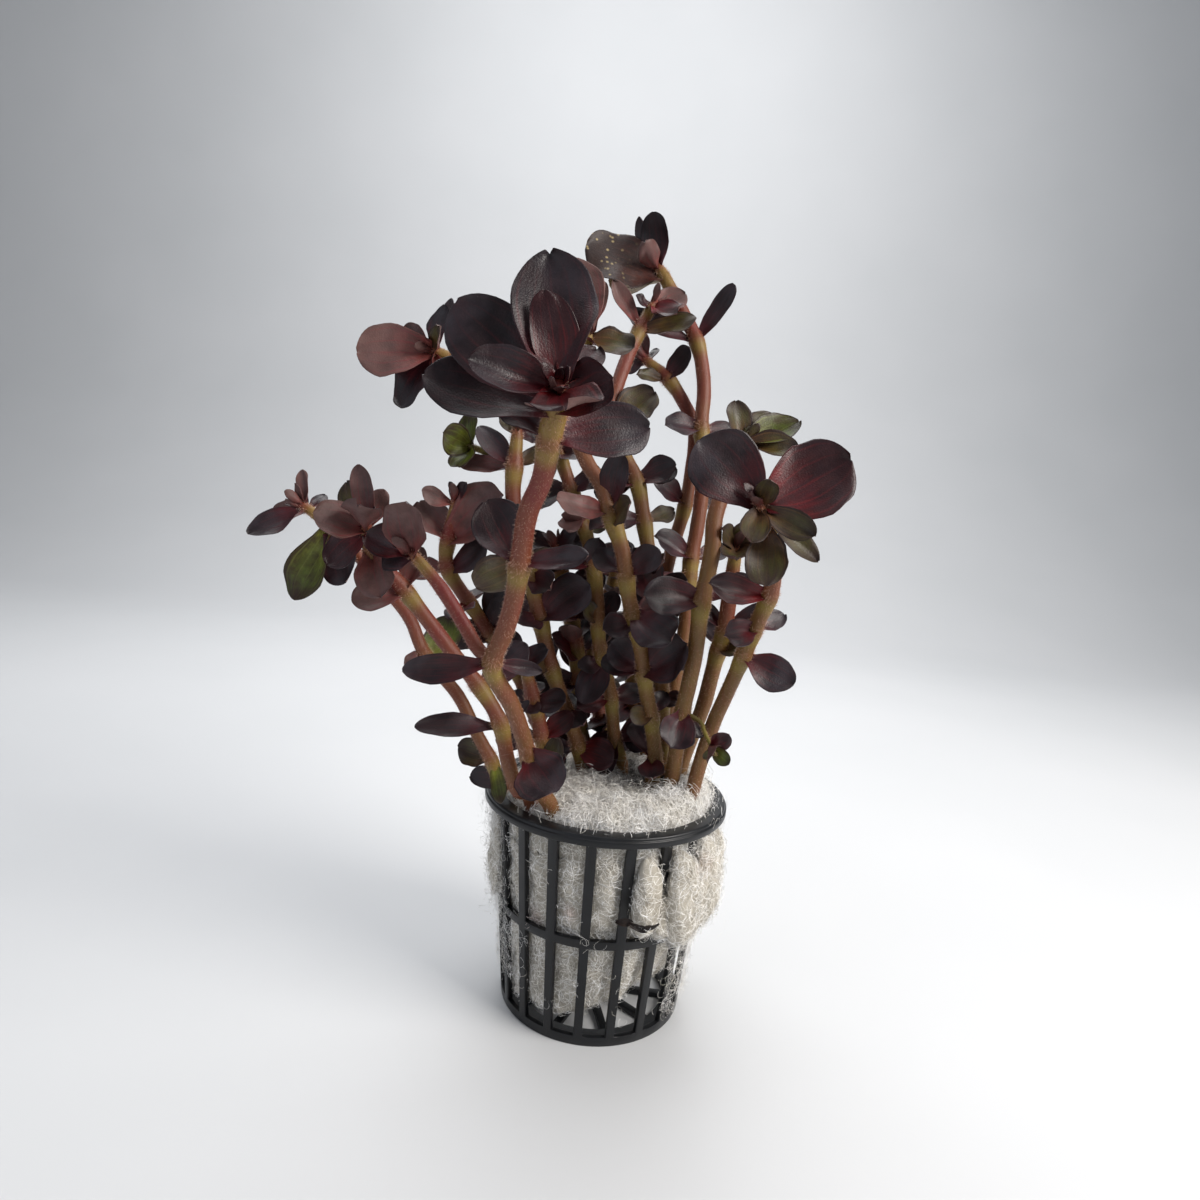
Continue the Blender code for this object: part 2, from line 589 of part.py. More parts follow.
def leaf(base, way, normal, length, width, outline, grow=0.0):
    """A closed blade, flat above and keeled below: rings of two edges and the midrib, then a tip."""
    side = np.cross(way, normal)
    points, faces, rows = [], [], []
    for share, spread in outline:
        middle = base + way * length * share + normal * LEAF_CURL * length * share**2
        half = 0.5 * width * spread
        keel = normal * (LEAF_KEEL * (1.0 - KEEL_FADE * share) + grow)
        edge = side * (half + grow)
        start = len(points)
        points += [middle - edge + normal * grow, middle + edge + normal * grow, middle - keel]
        rows.append(list(range(start, start + 3)))
    points.append(base + way * (length + grow) + normal * LEAF_CURL * length)
    for low, high in zip(rows, rows[1:]):
        faces += bridge(low, high)
    faces.append(tuple(rows[0]))
    faces += [(a, b, len(points) - 1) for a, b, *_ in bridge(rows[-1], rows[-1])]
    return [tuple(point) for point in points], faces


def outer_part(outline):
    return [(share, spread) for share, spread in outline if share >= FREE_PART or share == outline[1][0]]


def surface(shape):
    return BVHTree.FromPolygons(*shape)


class Crowd:
    """What stands in the way of a leaf: all stems, the pot, the wool, and the leaves already placed."""

    def __init__(self):
        self.things = []

    def add(self, owner, whole, outer):
        self.things.append((owner, surface(whole), surface(outer)))

    def is_clear(self, owner, whole, outer):
        whole, outer = surface(whole), surface(outer)
        for other, other_whole, other_outer in self.things:
            if other == owner:
                if outer.overlap(other_outer):
                    return False
            elif whole.overlap(other_whole):
                return False
        return True


def leaf_tries():
    swings = list(itertools.product(LEAF_SWINGS, LEAF_SWINGS))
    swings.sort(key=lambda swing: abs(swing[0]) + abs(swing[1]))
    return [(turn, lift, size) for size in LEAF_SIZES for turn, lift in swings]


def place_leaf(crowd, owner, line, radius, wanted):
    """The first way of turning, lifting or shrinking this leaf that keeps it clear of the rest."""
    index, heading, rise, length, roll, ratio = wanted
    along, middle = tangent(line, index), tube_middle(line, index)
    for turn, lift, size in leaf_tries():
        way = heading_vector(heading + turn, rise + lift)
        normal = upper_side(way, along, roll)
        base = middle + way * LEAF_ROOT * radius
        long, wide = length * size, length * size * ratio
        outline = next(shape for least, shape in LEAF_OUTLINES if long > least)
        shape = (base, way, normal, long, wide)
        outer = outer_part(outline)
        if crowd.is_clear(owner, leaf(*shape, outline, LEAF_GAP), leaf(*shape, outer, LEAF_GAP)):
            crowd.add(owner, leaf(*shape, outline), leaf(*shape, outer))
            return shape + (outline,)
    return None


def opposite(heading, rise, along):
    """Heading and rise of a leaf turned half round the stem."""
    way = heading_vector(heading, rise)
    other = 2 * way.dot(along) * along - way
    return math.degrees(math.atan2(other[1], other[0])), math.degrees(math.asin(other[2]))


def wanted_leaves(line, leaves):
    """Every leaf of a shoot, with each opposite pair written out as two."""
    for place, heading, rise, length, other_length, roll, ratio in leaves:
        index = min(round(place / STEM_SAMPLE), len(line) - 2)
        yield index, heading, rise, length, roll, ratio
        if other_length:
            turned, lifted = opposite(heading, rise, tangent(line, index))
            yield index, turned, lifted, other_length, -roll, ratio


def grow_shoots(solid_neighbours):
    """Lines of all stems and the leaves that found room, by shoot."""
    lines = {name: smooth_line(route) for name, (_, route, _) in SHOOTS.items()}
    radii = {name: radius for name, (radius, _, _) in SHOOTS.items()}
    part_stems(lines, radii)
    crowd = Crowd()
    for neighbour in solid_neighbours:
        crowd.add(None, neighbour, neighbour)
    for name, line in lines.items():
        body = stem_tube(line[FORK_ROOT:] if name in FORKS else line, radii[name])
        crowd.add(SIDE_GROWTHS.get(name, name), body, body)
    placed = {name: [] for name in SHOOTS}
    for name, (radius, _, leaves) in SHOOTS.items():
        for wanted in wanted_leaves(lines[name], leaves):
            found = place_leaf(crowd, SIDE_GROWTHS.get(name, name), lines[name], radius, wanted)
            if found:
                placed[name].append(found)
    return lines, placed


def wool_core():
    """The packed lump of wool: rings fitted to the pot's inside, a little uneven and lower on the left."""
    rng = np.random.default_rng(7)
    points, faces, rows = [(0.0, 0.0, WOOL_PROFILE[0][0])], [], []
    for height, share in WOOL_PROFILE:
        room = wall_radius(min(height, RIM_BOTTOM)) - WALL_THICKNESS - WOOL_CLEARANCE
        start = len(points)
        for side in range(WOOL_SIDES):
            radius = room * share * (1.0 - WOOL_LUMP * rng.random())
            x, y, z = around(360.0 * side / WOOL_SIDES, radius, height)
            points.append((x, y, z + wool_rise(x, z) - wool_sag(x, y, z)))
        rows.append(list(range(start, len(points))))
    points.append((0.0, 0.0, WOOL_CROWN))
    for low, high in zip(rows, rows[1:]):
        faces += bridge(low, high)
    faces += [(0, a, b) for a, b, *_ in bridge(rows[0], rows[0])]
    faces += [(len(points) - 1, a, b) for a, b, *_ in bridge(rows[-1], rows[-1])]
    return points, faces


def wool_rise(x, height):
    """How much the wool's crown stands up on the right and sinks on the left."""
    return WOOL_LEAN * x if height > WOOL_LEAN_FROM else 0.0


def wool_sag(x, y, height):
    """How far the lump's lower edge hangs down at the front, most of all on the left."""
    forward = around(WOOL_SAG_SIDE, 1.0, 0.0)
    front = min(1.0, max(0.0, (x * forward[0] + y * forward[1] - 7.5) / 5.0))
    return max(0.0, WOOL_SAG - WOOL_SAG_LEAN * x) * front if height < WOOL_SAG_BELOW else 0.0


def wool_tuft(slot, height, reach, half_height):
    """A tuft that swells out through one slot, clear of the bars beside it."""
    azimuth = FIRST_BAR + 360.0 * (slot + 0.5) / BAR_COUNT
    out = np.array(around(azimuth, 1.0, 0.0))
    across = np.cross(out, (0.0, 0.0, 1.0))
    stations = [(TUFT_ROOT, 0.9), (0.4 * TUFT_ROOT + 0.6 * reach, 0.95), (reach - 1.0, 0.7)]
    points, faces, rows = [], [], []
    for radius, share in stations:
        start = len(points)
        for side in range(STEM_SIDES):
            turn = 2 * math.pi * (side + 0.5) / STEM_SIDES
            sideways, up = TUFT_HALF_WIDTH * share * math.cos(turn), half_height * share * math.sin(turn)
            points.append(tuple(out * radius + across * sideways + np.array([0.0, 0.0, height + up])))
        rows.append(list(range(start, len(points))))
    points.append(tuple(out * reach + np.array([0.0, 0.0, height])))
    for low, high in zip(rows, rows[1:]):
        faces += bridge(low, high)
    faces.append(tuple(rows[0]))
    faces += [(a, b, len(points) - 1) for a, b, *_ in bridge(rows[-1], rows[-1])]
    return points, faces


def pocket(line, radius):
    """The room for one stem's foot in the wool: its lowest stretch, a little wider and deeper."""
    foot, mouth, clear = line[ring_samples(line)[:3]]
    down = (foot - mouth) / np.linalg.norm(foot - mouth)
    return tube([foot + down * POCKET_GAP, mouth, clear], [radius + POCKET_GAP] * 3)


def make_wool(wool, lines):
    core = add_object("filter_wool", *wool_core(), wool)
    tufts = [add_object("wool_tuft_%d" % i, *wool_tuft(*tuft), wool) for i, tuft in enumerate(WOOL_TUFTS)]
    boolean(core, tufts, "UNION")
    pockets = []
    for name, line in lines.items():
        if name not in PARENTS:
            pockets.append(add_object(name + "_pocket", *pocket(line, SHOOTS[name][0]), wool))
    boolean(core, pockets, "DIFFERENCE")
    return core


def make_shoots(lines, placed):
    """One object for each shoot: its stem, its small side growth if it has one, and all their leaves."""
    purple = material("bacopa_purple", SHOOT_PURPLE, 0.45)
    olive = material("bacopa_olive", SHOOT_OLIVE, 0.5)
    helpers = {name: [] for name in SHOOTS}
    stems = {}
    for name, (radius, _, _) in SHOOTS.items():
        finish = olive if name in GREEN_SHOOTS else purple
        stems[name] = add_object(name, *stem_tube(lines[name], radius), finish)
        owner = SIDE_GROWTHS.get(name, name)
        if owner != name:
            helpers[owner].append(stems[name])
        for count, shape in enumerate(placed[name]):
            helpers[owner].append(add_object("%s_leaf_%d" % (name, count), *leaf(*shape), finish))
    for name, parts in helpers.items():
        if name not in SIDE_GROWTHS:
            boolean(stems[name], parts, "UNION")
    for name, parent in FORKS.items():
        boolean(stems[name], fork_cutters(name, parent, lines, placed, purple), "DIFFERENCE")


def fork_cutters(name, parent, lines, placed, finish):
    """What a fork's root keeps clear of: its parent's stem and the leaves at the same joint."""
    saddle = stem_tube(lines[parent], SHOOTS[parent][0], POCKET_GAP)
    cutters = [add_object(name + "_saddle", *saddle, finish)]
    for count, shape in enumerate(placed[parent]):
        if np.linalg.norm(shape[0] - lines[name][0]) < FORK_ROOT * STEM_SAMPLE:
            cutters.append(add_object("%s_notch_%d" % (name, count), *leaf(*shape, POCKET_GAP), finish))
    return cutters


def main():
    clear_scene()
    make_net_pot(material("black_polypropylene", PLASTIC_BLACK, 0.35))
    lines, placed = grow_shoots([basket_shell(), wool_core()])
    make_wool(material("polyester_wool", WOOL_WHITE, 0.95), lines)
    make_shoots(lines, placed)


main()
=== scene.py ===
"""Looks of the bacopa in its net pot: hairy stems, veined leaves, curled wool and a moulded basket.

The stems and leaves follow the same routes and the same way of settling as the solids, so that each
detailed shoot stands where its solid does. Lengths are millimetres until a mesh is made.
"""

import itertools
import math

import bmesh
import bpy
import numpy as np
from mathutils import Matrix, Vector, noise
from mathutils.bvhtree import BVHTree

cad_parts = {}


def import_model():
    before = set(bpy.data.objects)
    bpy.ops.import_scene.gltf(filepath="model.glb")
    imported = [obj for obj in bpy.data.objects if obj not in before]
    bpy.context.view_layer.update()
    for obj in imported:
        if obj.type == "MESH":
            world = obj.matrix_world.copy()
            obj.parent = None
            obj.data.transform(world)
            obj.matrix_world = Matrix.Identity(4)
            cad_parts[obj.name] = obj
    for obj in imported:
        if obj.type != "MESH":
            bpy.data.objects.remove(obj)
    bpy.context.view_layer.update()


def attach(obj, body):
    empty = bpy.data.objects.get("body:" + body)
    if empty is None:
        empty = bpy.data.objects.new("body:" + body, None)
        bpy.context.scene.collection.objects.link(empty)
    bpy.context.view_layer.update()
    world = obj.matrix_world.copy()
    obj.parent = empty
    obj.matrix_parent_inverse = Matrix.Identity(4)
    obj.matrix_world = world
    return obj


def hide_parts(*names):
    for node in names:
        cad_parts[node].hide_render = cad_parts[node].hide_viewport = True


MM = 0.001

# Net pot
RIM_RADIUS = 25.0
RIM_BOTTOM = 43.1
RIM_TOP = 45.1
RIM_ROUND = 0.5
WALL_TOP_RADIUS = 22.9
WALL_BASE_RADIUS = 18.9
WALL_THICKNESS = 1.2
BAR_COUNT = 19
BAR_WIDTH = 1.85
FIRST_BAR = -5.9
BASE_RING_TOP = 2.0
BASE_RING_INSIDE = 15.5
BASE_THICKNESS = 1.4
MID_RING_BOTTOM = 21.1
MID_RING_TOP = 22.9
SPOKE_COUNT = 10
SPOKE_WIDTH = 1.6
SPOKE_LIFT = 0.15
SPOKE_OVERLAP = 1.0
FIRST_SPOKE = 12.3
HUB_RADIUS = 4.0
HUB_SIDES = 16

# Filter wool
WOOL_PROFILE = [(9.0, 0.45), (10.5, 0.88), (18.0, 1.0), (42.0, 1.0), (46.5, 0.95), (49.0, 0.66)]
WOOL_CROWN = 50.0
WOOL_SIDES = 14
WOOL_CLEARANCE = 0.4
WOOL_LUMP = 0.05
WOOL_LEAN = 0.12
WOOL_LEAN_FROM = 38.0
WOOL_SAG = 3.2
WOOL_SAG_LEAN = 0.2
WOOL_SAG_BELOW = 12.0
WOOL_SAG_SIDE = -28.0

# Stems
STEM_SIDES = 5
STEM_SAMPLE = 2.0
STEM_RING_EVERY = 12.0
STEM_GAP = 1.2
STEM_TAPER = 8.0
STEM_TIP_SHARE = 0.5
PARTING_ROUNDS = 80
POT_MOUTH = 46.0
FORK_ROOT = 3

# Leaves: the least length for each outline, then shares of that length and of the half width there
LEAF_OUTLINES = [
    (12.0, [(0.0, 0.2), (0.3, 0.66), (0.66, 1.0), (0.9, 0.7)]),
    (7.5, [(0.0, 0.22), (0.5, 0.94), (0.86, 0.8)]),
    (0.0, [(0.0, 0.25), (0.6, 1.0)]),
]
LEAF_ROOT = 0.3
LEAF_KEEL = 0.7
KEEL_FADE = 0.3
LEAF_CURL = 0.1
LEAF_GAP = 0.3
FREE_PART = 0.35
LIGHT_PULL = 1.6
LEAST_FACING = 0.5
LEAF_SWINGS = (0, 12, -12, 24, -24, 36, -36)
LEAF_SIZES = (1.0, 0.85, 0.7)

# One entry for each shoot: stem radius, the points that its stem passes from the foot up, and its
# leaves. A leaf is its place along the stem, heading (0 is +X, 90 is +Y), rise above level, length,
# the length of the leaf opposite (0 for none), roll about its own midrib, and width over length.
SHOOTS = {
    "front_shoot": (
        1.6,
        [(-6, -8, 22), (-10, -16, 45), (-13, -19, 51), (-15, -21, 58), (-18, -26, 68), (-21.5, -31, 75.5),
         (-19.5, -33, 82), (-18, -36, 88), (-17, -40, 95), (-16, -43, 102), (-14, -46, 107),
         (-13, -50, 113), (-12, -53, 117), (-12, -57, 119)],
        [
            (39, -48, -20, 9.5, 0, 0, 1.05), (62, -170, -12, 14, 8, 0, .36), (82, -15, 12, 11, 0, 0, .36),
            (82, 150, 45, 10.5, 0, 0, .8),
            (104, 20, 15, 13.5, 0, 0, .62), (104, 165, 30, 9.5, 0, 0, .5),
            (107, 170, 10, 17.5, 0, 12, .55), (107, -25, 30, 9, 0, 0, .85), (110, 165, 40, 18, 0, 0, .62),
            (110, 0, 85, 13, 0, 0, .5), (113, 130, 55, 18.5, 0, 0, .6), (113, -80, -25, 9.5, 0, 0, 1),
            (113, -160, 15, 11.5, 0, 0, .5), (113, 60, 55, 9.5, 0, 0, .6),
        ],
    ),
    "left_front_branch": (
        1.25,
        [(-23, -30.5, 77), (-26.5, -29, 82), (-31, -28, 88), (-36, -27, 93), (-37, -28, 94)],
        [
            (21, -100, 70, 9.5, 6, 0, .95), (20, 160, 15, 9.5, 0, 0, .6),
        ],
    ),
    "left_shoot": (
        1.45,
        [(-11, -7, 22), (-14.5, -12.5, 46), (-17, -18, 49), (-19, -20, 55), (-21, -20, 63),
         (-25, -19, 69), (-31, -18, 76), (-36, -18, 82), (-40, -19, 87), (-44, -21, 91), (-45, -23, 95),
         (-45, -25, 98)],
        [
            (46, -165, 4, 14.5, 7, 0, .32), (54, 30, 45, 11.5, 0, 0, .6), (76, -155, -10, 9, 8, 0, .7),
            (86, -60, -50, 9.5, 0, 0, .7), (91, -145, 15, 9, 0, 0, .75), (91, 45, 65, 7, 0, 0, .6),
            (92, 150, 50, 8.5, 0, 0, .6), (92, 180, 85, 10.5, 0, 0, .4), (90, -160, -45, 8.5, 0, 0, .8),
            (90, -50, -15, 8.5, 0, 0, .8),
        ],
    ),
    "far_left_shoot": (
        1.3,
        [(-13, -3, 22), (-17.5, -8, 46), (-21, -12, 48), (-23, -14, 53), (-26, -13, 58), (-30, -12, 65),
         (-37, -10, 72), (-41, -8, 79), (-47, -6, 85), (-55, -5, 93), (-59, -5, 96), (-62, -6, 98),
         (-64, -6, 99)],
        [
            (37, 165, 5, 7, 0, 0, .8), (36, -55, -45, 8.5, 0, 0, .4), (29, 150, -30, 9.5, 0, 0, .5),
            (60, -155, -5, 4.5, 9, 0, 1), (91, -145, -70, 14.5, 0, 0, .7),
            (91, -35, -50, 11.5, 0, 0, .7), (98, -160, -30, 11, 0, 0, .55), (98, 115, 65, 8, 0, 0, .35),
            (99, 180, 65, 5, 0, 0, .35), (100, 150, -10, 9, 0, 0, .5), (100, 60, 30, 5.5, 0, 0, .5),
        ],
    ),
    "upper_left_shoot": (
        1.4,
        [(0, 2, 22), (3, 2, 47), (1, 0, 55), (-1, -2, 66), (-4, -3, 76), (-5, -2, 84), (-7, 0, 93),
         (-10, 2, 101), (-14, 4, 110), (-18, 6, 118), (-27, 8, 125), (-36, 6, 129), (-42, 4, 131),
         (-43, 3, 131)],
        [
            (54, -120, -65, 11, 8, 0, .6), (73, -160, 5, 8.5, 9, 0, .6), (83, 40, -35, 7.5, 8, 0, .6),
            (113, 115, -55, 7.5, 7, 0, .7), (131, -170, -5, 14.5, 0, 0, .75),
            (130, -155, -65, 12.5, 0, 0, .8), (131, 150, 25, 9, 0, 0, .6), (131, 0, -65, 8, 0, 0, .7),
            (131, 60, 75, 9, 0, 0, .6), (131, 85, 70, 13, 0, 0, .3), (131, -70, 35, 6.5, 0, 0, .6),
        ],
    ),
    "green_head_shoot": (
        1.5,
        [(4, -4, 22), (9, -3, 49), (8, -5, 60), (6, -8, 68), (4, -10, 77), (1, -12, 86), (-1, -13, 95),
         (-4, -14, 102), (-6, -13, 107), (-9, -11, 111), (-12, -6, 117), (-13, -1, 124), (-12, 3, 132),
         (-11, 5, 137), (-11, 5, 139)],
        [
            (53, -40, 35, 12, 8, 0, .8), (65, -50, -20, 11, 0, 0, .8), (83, -155, 0, 10.5, 0, 0, .55),
            (84, -70, 75, 11, 0, 0, .5), (103, 150, -30, 7.5, 7, 0, .6), (124, 135, 65, 17, 0, 0, .62),
            (127, 45, 65, 10.5, 0, 0, .3), (125, -10, -10, 9.5, 0, 0, .8), (127, -60, 30, 4, 0, 0, .9),
            (125, -100, -55, 7, 0, 0, .8),
        ],
    ),
    "second_top_shoot": (
        1.5,
        [(7, 3, 22), (11, 3.5, 48), (10, 0, 65), (8, -2, 75), (6, -3, 88), (4, -3, 96), (1, -2, 108),
         (-2, 0, 113), (-6, 4, 119), (-5, 8, 126), (-3, 12, 134), (-1, 15, 140), (1, 17, 145),
         (2, 17, 147)],
        [
            (63, -35, 35, 9, 0, 0, .8), (63, -135, 50, 13, 0, 0, .6), (88, -15, 25, 8.5, 8, 0, .7),
            (102, 15, 40, 10.5, 8, 0, .8), (126, 165, 50, 11.5, 0, 0, .35),
            (126, -10, 10, 11.5, 0, 0, .5), (134, 35, 25, 8, 0, 0, .8), (134, -150, 20, 4, 0, 0, .8),
            (134, -45, -30, 8, 0, 0, .9),
        ],
    ),
    "top_shoot": (
        1.6,
        [(11, 6, 22), (14, 8.5, 47), (13, 8, 55), (13, 8, 65), (14, 8, 78), (14, 9, 92), (15, 10, 103),
         (15, 12, 112), (14, 14, 122), (14, 17, 130), (12, 19, 139), (8, 21, 146), (3, 22, 154),
         (1, 22, 156)],
        [
            (68, -135, -10, 15, 0, 0, .7), (71, -160, 25, 10, 8, 0, .6), (99, -160, 0, 8.5, 9, 0, .8),
            (119, -10, 60, 13.5, 0, 0, .32), (119, -165, 30, 15.5, 0, 0, .3),
            (137, -170, 10, 17.5, 0, 0, .8), (137, 160, -15, 11.5, 0, 0, .6),
            (139, 165, 50, 11.5, 0, 0, .4), (139, -130, 75, 11, 0, 0, .62),
            (139, -120, 25, 7.5, 0, 0, .7),
        ],
    ),
    "third_top_shoot": (
        1.5,
        [(6, 8, 22), (8, 11, 46), (7, 12, 61), (8, 12, 75), (9, 13, 86), (10, 14, 94), (12, 15, 103),
         (13, 16, 112), (13, 19, 121), (10, 21, 127), (6, 22, 132), (3, 22, 134), (0, 21, 136)],
        [
            (62, -20, 20, 9, 8, 0, .7), (83, -150, 30, 9.5, 8, 0, .6), (114, -35, 50, 8.5, 0, 0, .62),
            (114, -155, 5, 7, 0, 0, .5), (121, 150, 60, 7, 0, 0, .7), (121, 180, -20, 5.5, 0, 0, .7),
            (121, 65, 40, 5.5, 0, 0, .4),
        ],
    ),
    "right_shoot": (
        1.5,
        [(14, -8, 22), (16.5, -10, 48), (19, -9, 62), (21, -11, 70), (23, -14, 79), (24, -17, 85),
         (25, -21, 91), (24, -26, 97), (21, -30, 103), (19, -33, 107)],
        [
            (58, -20, -25, 10, 0, 0, .7), (65, 35, 20, 7, 9, 0, .6), (73, -165, 5, 11, 0, 0, .5),
            (94, 5, 30, 15.5, 0, 0, .85), (93, 170, 45, 14, 0, 0, .85), (92, -30, -25, 9.5, 0, 0, .5),
            (87, -75, -65, 10, 0, 0, .7), (91, 0, -50, 12, 0, 0, .35), (94, -110, -40, 8, 0, 0, .6),
            (94, -95, 35, 7.5, 0, 0, .5),
        ],
    ),
    "right_inner_shoot": (
        1.6,
        [(11, -1, 22), (14.5, -1, 49), (16, -2, 57), (18, -4, 66), (19, -6, 75), (20, -7, 81),
         (20, -9, 89), (20, -10, 97), (20, -11, 99)],
        [
            (61, -15, 35, 9.5, 7, 0, .45), (55, -55, 10, 6.5, 6, 0, .7), (79, -75, 60, 6.5, 0, 0, .8),
            (79, -135, 45, 8, 0, 0, .5), (79, -105, 30, 8, 0, 0, .8),
        ],
    ),
    "right_rear_shoot": (
        1.6,
        [(9, -6, 22), (12.5, -7, 49), (13, -8, 63), (14, -13, 76), (14, -17, 87), (15, -18, 97),
         (15, -16, 103), (17, -12, 110), (19, -9, 116), (20, -8, 118)],
        [
            (45, -115, -45, 7.5, 0, 0, 1), (45, 0, -25, 5.5, 0, 0, .6), (67, -160, 5, 12, 0, 0, .62),
            (67, 15, 30, 9.5, 0, 0, .45), (101, 125, 70, 8, 0, 0, .7), (101, 15, 25, 11.5, 0, 0, .6),
            (101, 45, 50, 10.5, 0, 0, .6), (101, -10, 0, 10, 0, 0, .6), (101, -155, 20, 5, 0, 0, .6),
        ],
    ),
    "centre_left_shoot": (
        1.6,
        [(-4, 1, 22), (-5, 0, 48), (-9, -3, 60), (-13, -4, 70), (-16, -4, 80), (-19, -5, 90),
         (-22, -6, 99), (-23, -6, 105), (-23, -6, 109), (-23, -5, 114), (-23, -4, 117)],
        [
            (59, -25, 40, 13, 8, 0, .7), (73, -140, -30, 11.5, 9, 0, .7), (90, 165, 40, 10.5, 0, 0, .5),
            (90, 20, 35, 7.5, 0, 0, .5), (90, 160, -5, 12, 0, 0, .35), (98, 145, 45, 5, 0, 0, .7),
            (98, 30, 5, 4, 0, 0, .8), (98, 50, 65, 6, 0, 0, .6),
        ],
    ),
    "green_bud_branch": (
        0.9,
        [(-25.7, -1, 109.3), (-29, 0, 111.6), (-32.2, 0, 112.5), (-34.2, 0, 113.2)],
        [
            (9, -140, 15, 6.5, 0, 0, 1), (9, -55, 65, 6, 0, 0, .9), (9, -100, -40, 6.5, 0, 0, .9),
        ],
    ),
    "left_rear_shoot": (
        1.5,
        [(-9, 5, 22), (-11, 6, 46), (-16, 4, 57), (-20, 3, 66), (-25, 2, 73), (-31, 2, 81), (-36, 2, 88),
         (-36, 1, 94), (-35, 0, 100), (-35, 0, 103)],
        [
            (55, -125, 70, 12.5, 8, 0, .6), (74, -30, 30, 11.5, 9, 0, .6), (81, -25, 25, 16, 10, 0, .75),
            (88, -160, 15, 6.5, 0, 0, .6), (88, 115, 50, 5, 0, 0, .3), (88, 25, 35, 6, 0, 0, .6),
            (88, -50, 50, 6, 0, 0, .4),
        ],
    ),
    "inner_left_shoot": (
        1.6,
        [(-4, 6, 22), (-4, 5.5, 46), (-7, 4, 58), (-8, 3, 69), (-10, 3, 79), (-13, 4, 89), (-15, 4, 95)],
        [
            (43, -130, -5, 10, 8, 0, .8), (50, -115, -5, 10, 8, 0, .7), (58, -35, 35, 8.5, 9, 0, .7),
            (68, -155, 20, 7.5, 9, 0, .7), (74, -35, 45, 7, 8, 0, .7),
        ],
    ),
    "inner_rear_shoot": (
        1.5,
        [(1, 8, 22), (1, 9, 46), (-2, 10, 56), (-5, 9, 68), (-4, 9, 79), (-2, 10, 87), (-2, 10, 92)],
        [
            (36, -85, -30, 9, 8, 0, .8), (47, -120, 50, 9, 8, 0, .7), (57, -150, 20, 8, 9, 0, .7),
            (67, -35, 25, 7, 9, 0, .7), (71, -130, 50, 6, 7, 0, .7),
        ],
    ),
    "inner_right_shoot": (
        1.6,
        [(6, 12.5, 22), (6, 15, 46), (5, 15, 56), (4, 16, 65), (1, 16, 72), (3, 15, 83), (4, 14, 90)],
        [
            (38, -130, -15, 8, 8, 0, .7), (50, -35, -5, 10, 8, 0, .7), (62, -35, 25, 8, 9, 0, .7),
            (69, -145, 50, 7.5, 7, 0, .7),
        ],
    ),
    "low_left_shoot": (
        1.5,
        [(-8, -1, 22), (-12, -5, 47), (-14, -8, 58), (-16, -9, 65), (-18, -9, 71), (-20, -9, 73)],
        [
            (44, -40, 10, 8, 7, 0, .7), (52, -160, 35, 7.5, 7, 0, .6), (54, -30, 35, 7, 7, 0, .7),
            (26, -15, 30, 12, 0, 0, .4), (27, -65, 55, 10, 0, 0, .5),
        ],
    ),
    "side_plantlet": (
        0.5,
        [(16.1, -9, 64.8), (17.5, -14, 62.2), (19.3, -17, 59.3)],
        [
            (10, -35, 40, 4.5, 0, 0, .9), (10, -35, -35, 4.5, 0, 0, .7), (10, 140, -60, 3, 0, 0, .5),
            (10, -100, 0, 5, 0, 0, .8),
        ],
    ),
}

SIDE_GROWTHS = {"green_bud_branch": "centre_left_shoot", "side_plantlet": "right_rear_shoot"}
FORKS = {"left_front_branch": "front_shoot"}
PARENTS = SIDE_GROWTHS | FORKS
GREEN_SHOOTS = ("green_head_shoot", "right_rear_shoot", "centre_left_shoot")

# Inner stems that carry more small leaves: from and to along the stem, and the steps between pairs
FILLING = [
    ("left_rear_shoot", 34, 72, 8.0), ("inner_left_shoot", 30, 76, 7.0), ("inner_rear_shoot", 30, 72, 7.0),
    ("centre_left_shoot", 32, 86, 9.0), ("low_left_shoot", 28, 50, 8.0), ("upper_left_shoot", 34, 108, 9.0),
    ("second_top_shoot", 34, 100, 9.0), ("green_head_shoot", 32, 84, 10.0), ("inner_right_shoot", 30, 72, 8.0),
]

# The look of each leaf in the table above, in its order: d dark purple, u its brown underside, g green,
# o olive, b brown with pale spots, p pale, r wine red, t dark with a torn tip. Leaves past the end are d.
LEAF_LOOKS = {
    "front_shoot": "ddddddddrdrdrdr",
    "left_front_branch": "ud",
    "left_shoot": "ddduuuuuou",
    "far_left_shoot": "ogduggdduuu",
    "upper_left_shoot": "ddddguduuduu",
    "green_head_shoot": "ddduddduuo",
    "second_top_shoot": "ddddoduou",
    "top_shoot": "dddddddbptd",
    "third_top_shoot": "dddddoud",
    "right_shoot": "dddrrdooooo",
    "right_inner_shoot": "ddodoo",
    "right_rear_shoot": "ddddogoouo",
    "centre_left_shoot": "ddoodouo",
    "green_bud_branch": "ggg",
    "left_rear_shoot": "ddduuuu",
    "side_plantlet": "rggo",
}


def around(azimuth, radius, height):
    """A point at this azimuth: 0 faces -Y and the angle grows towards +X."""
    turn = math.radians(azimuth)
    return (radius * math.sin(turn), -radius * math.cos(turn), height)


def bridge(first, second):
    """Quads between two closed rows of vertex numbers."""
    count = len(first)
    return [(first[i], first[(i + 1) % count], second[(i + 1) % count], second[i]) for i in range(count)]


def wall_radius(height):
    return WALL_BASE_RADIUS + (WALL_TOP_RADIUS - WALL_BASE_RADIUS) * height / RIM_BOTTOM


def bar_edges():
    """Azimuths of every bar's two edges, in order round the pot."""
    half = math.degrees(BAR_WIDTH / (WALL_TOP_RADIUS + WALL_BASE_RADIUS))
    middles = [FIRST_BAR + 360.0 * bar / BAR_COUNT for bar in range(BAR_COUNT)]
    return [middle + side for middle in middles for side in (-half, half)]


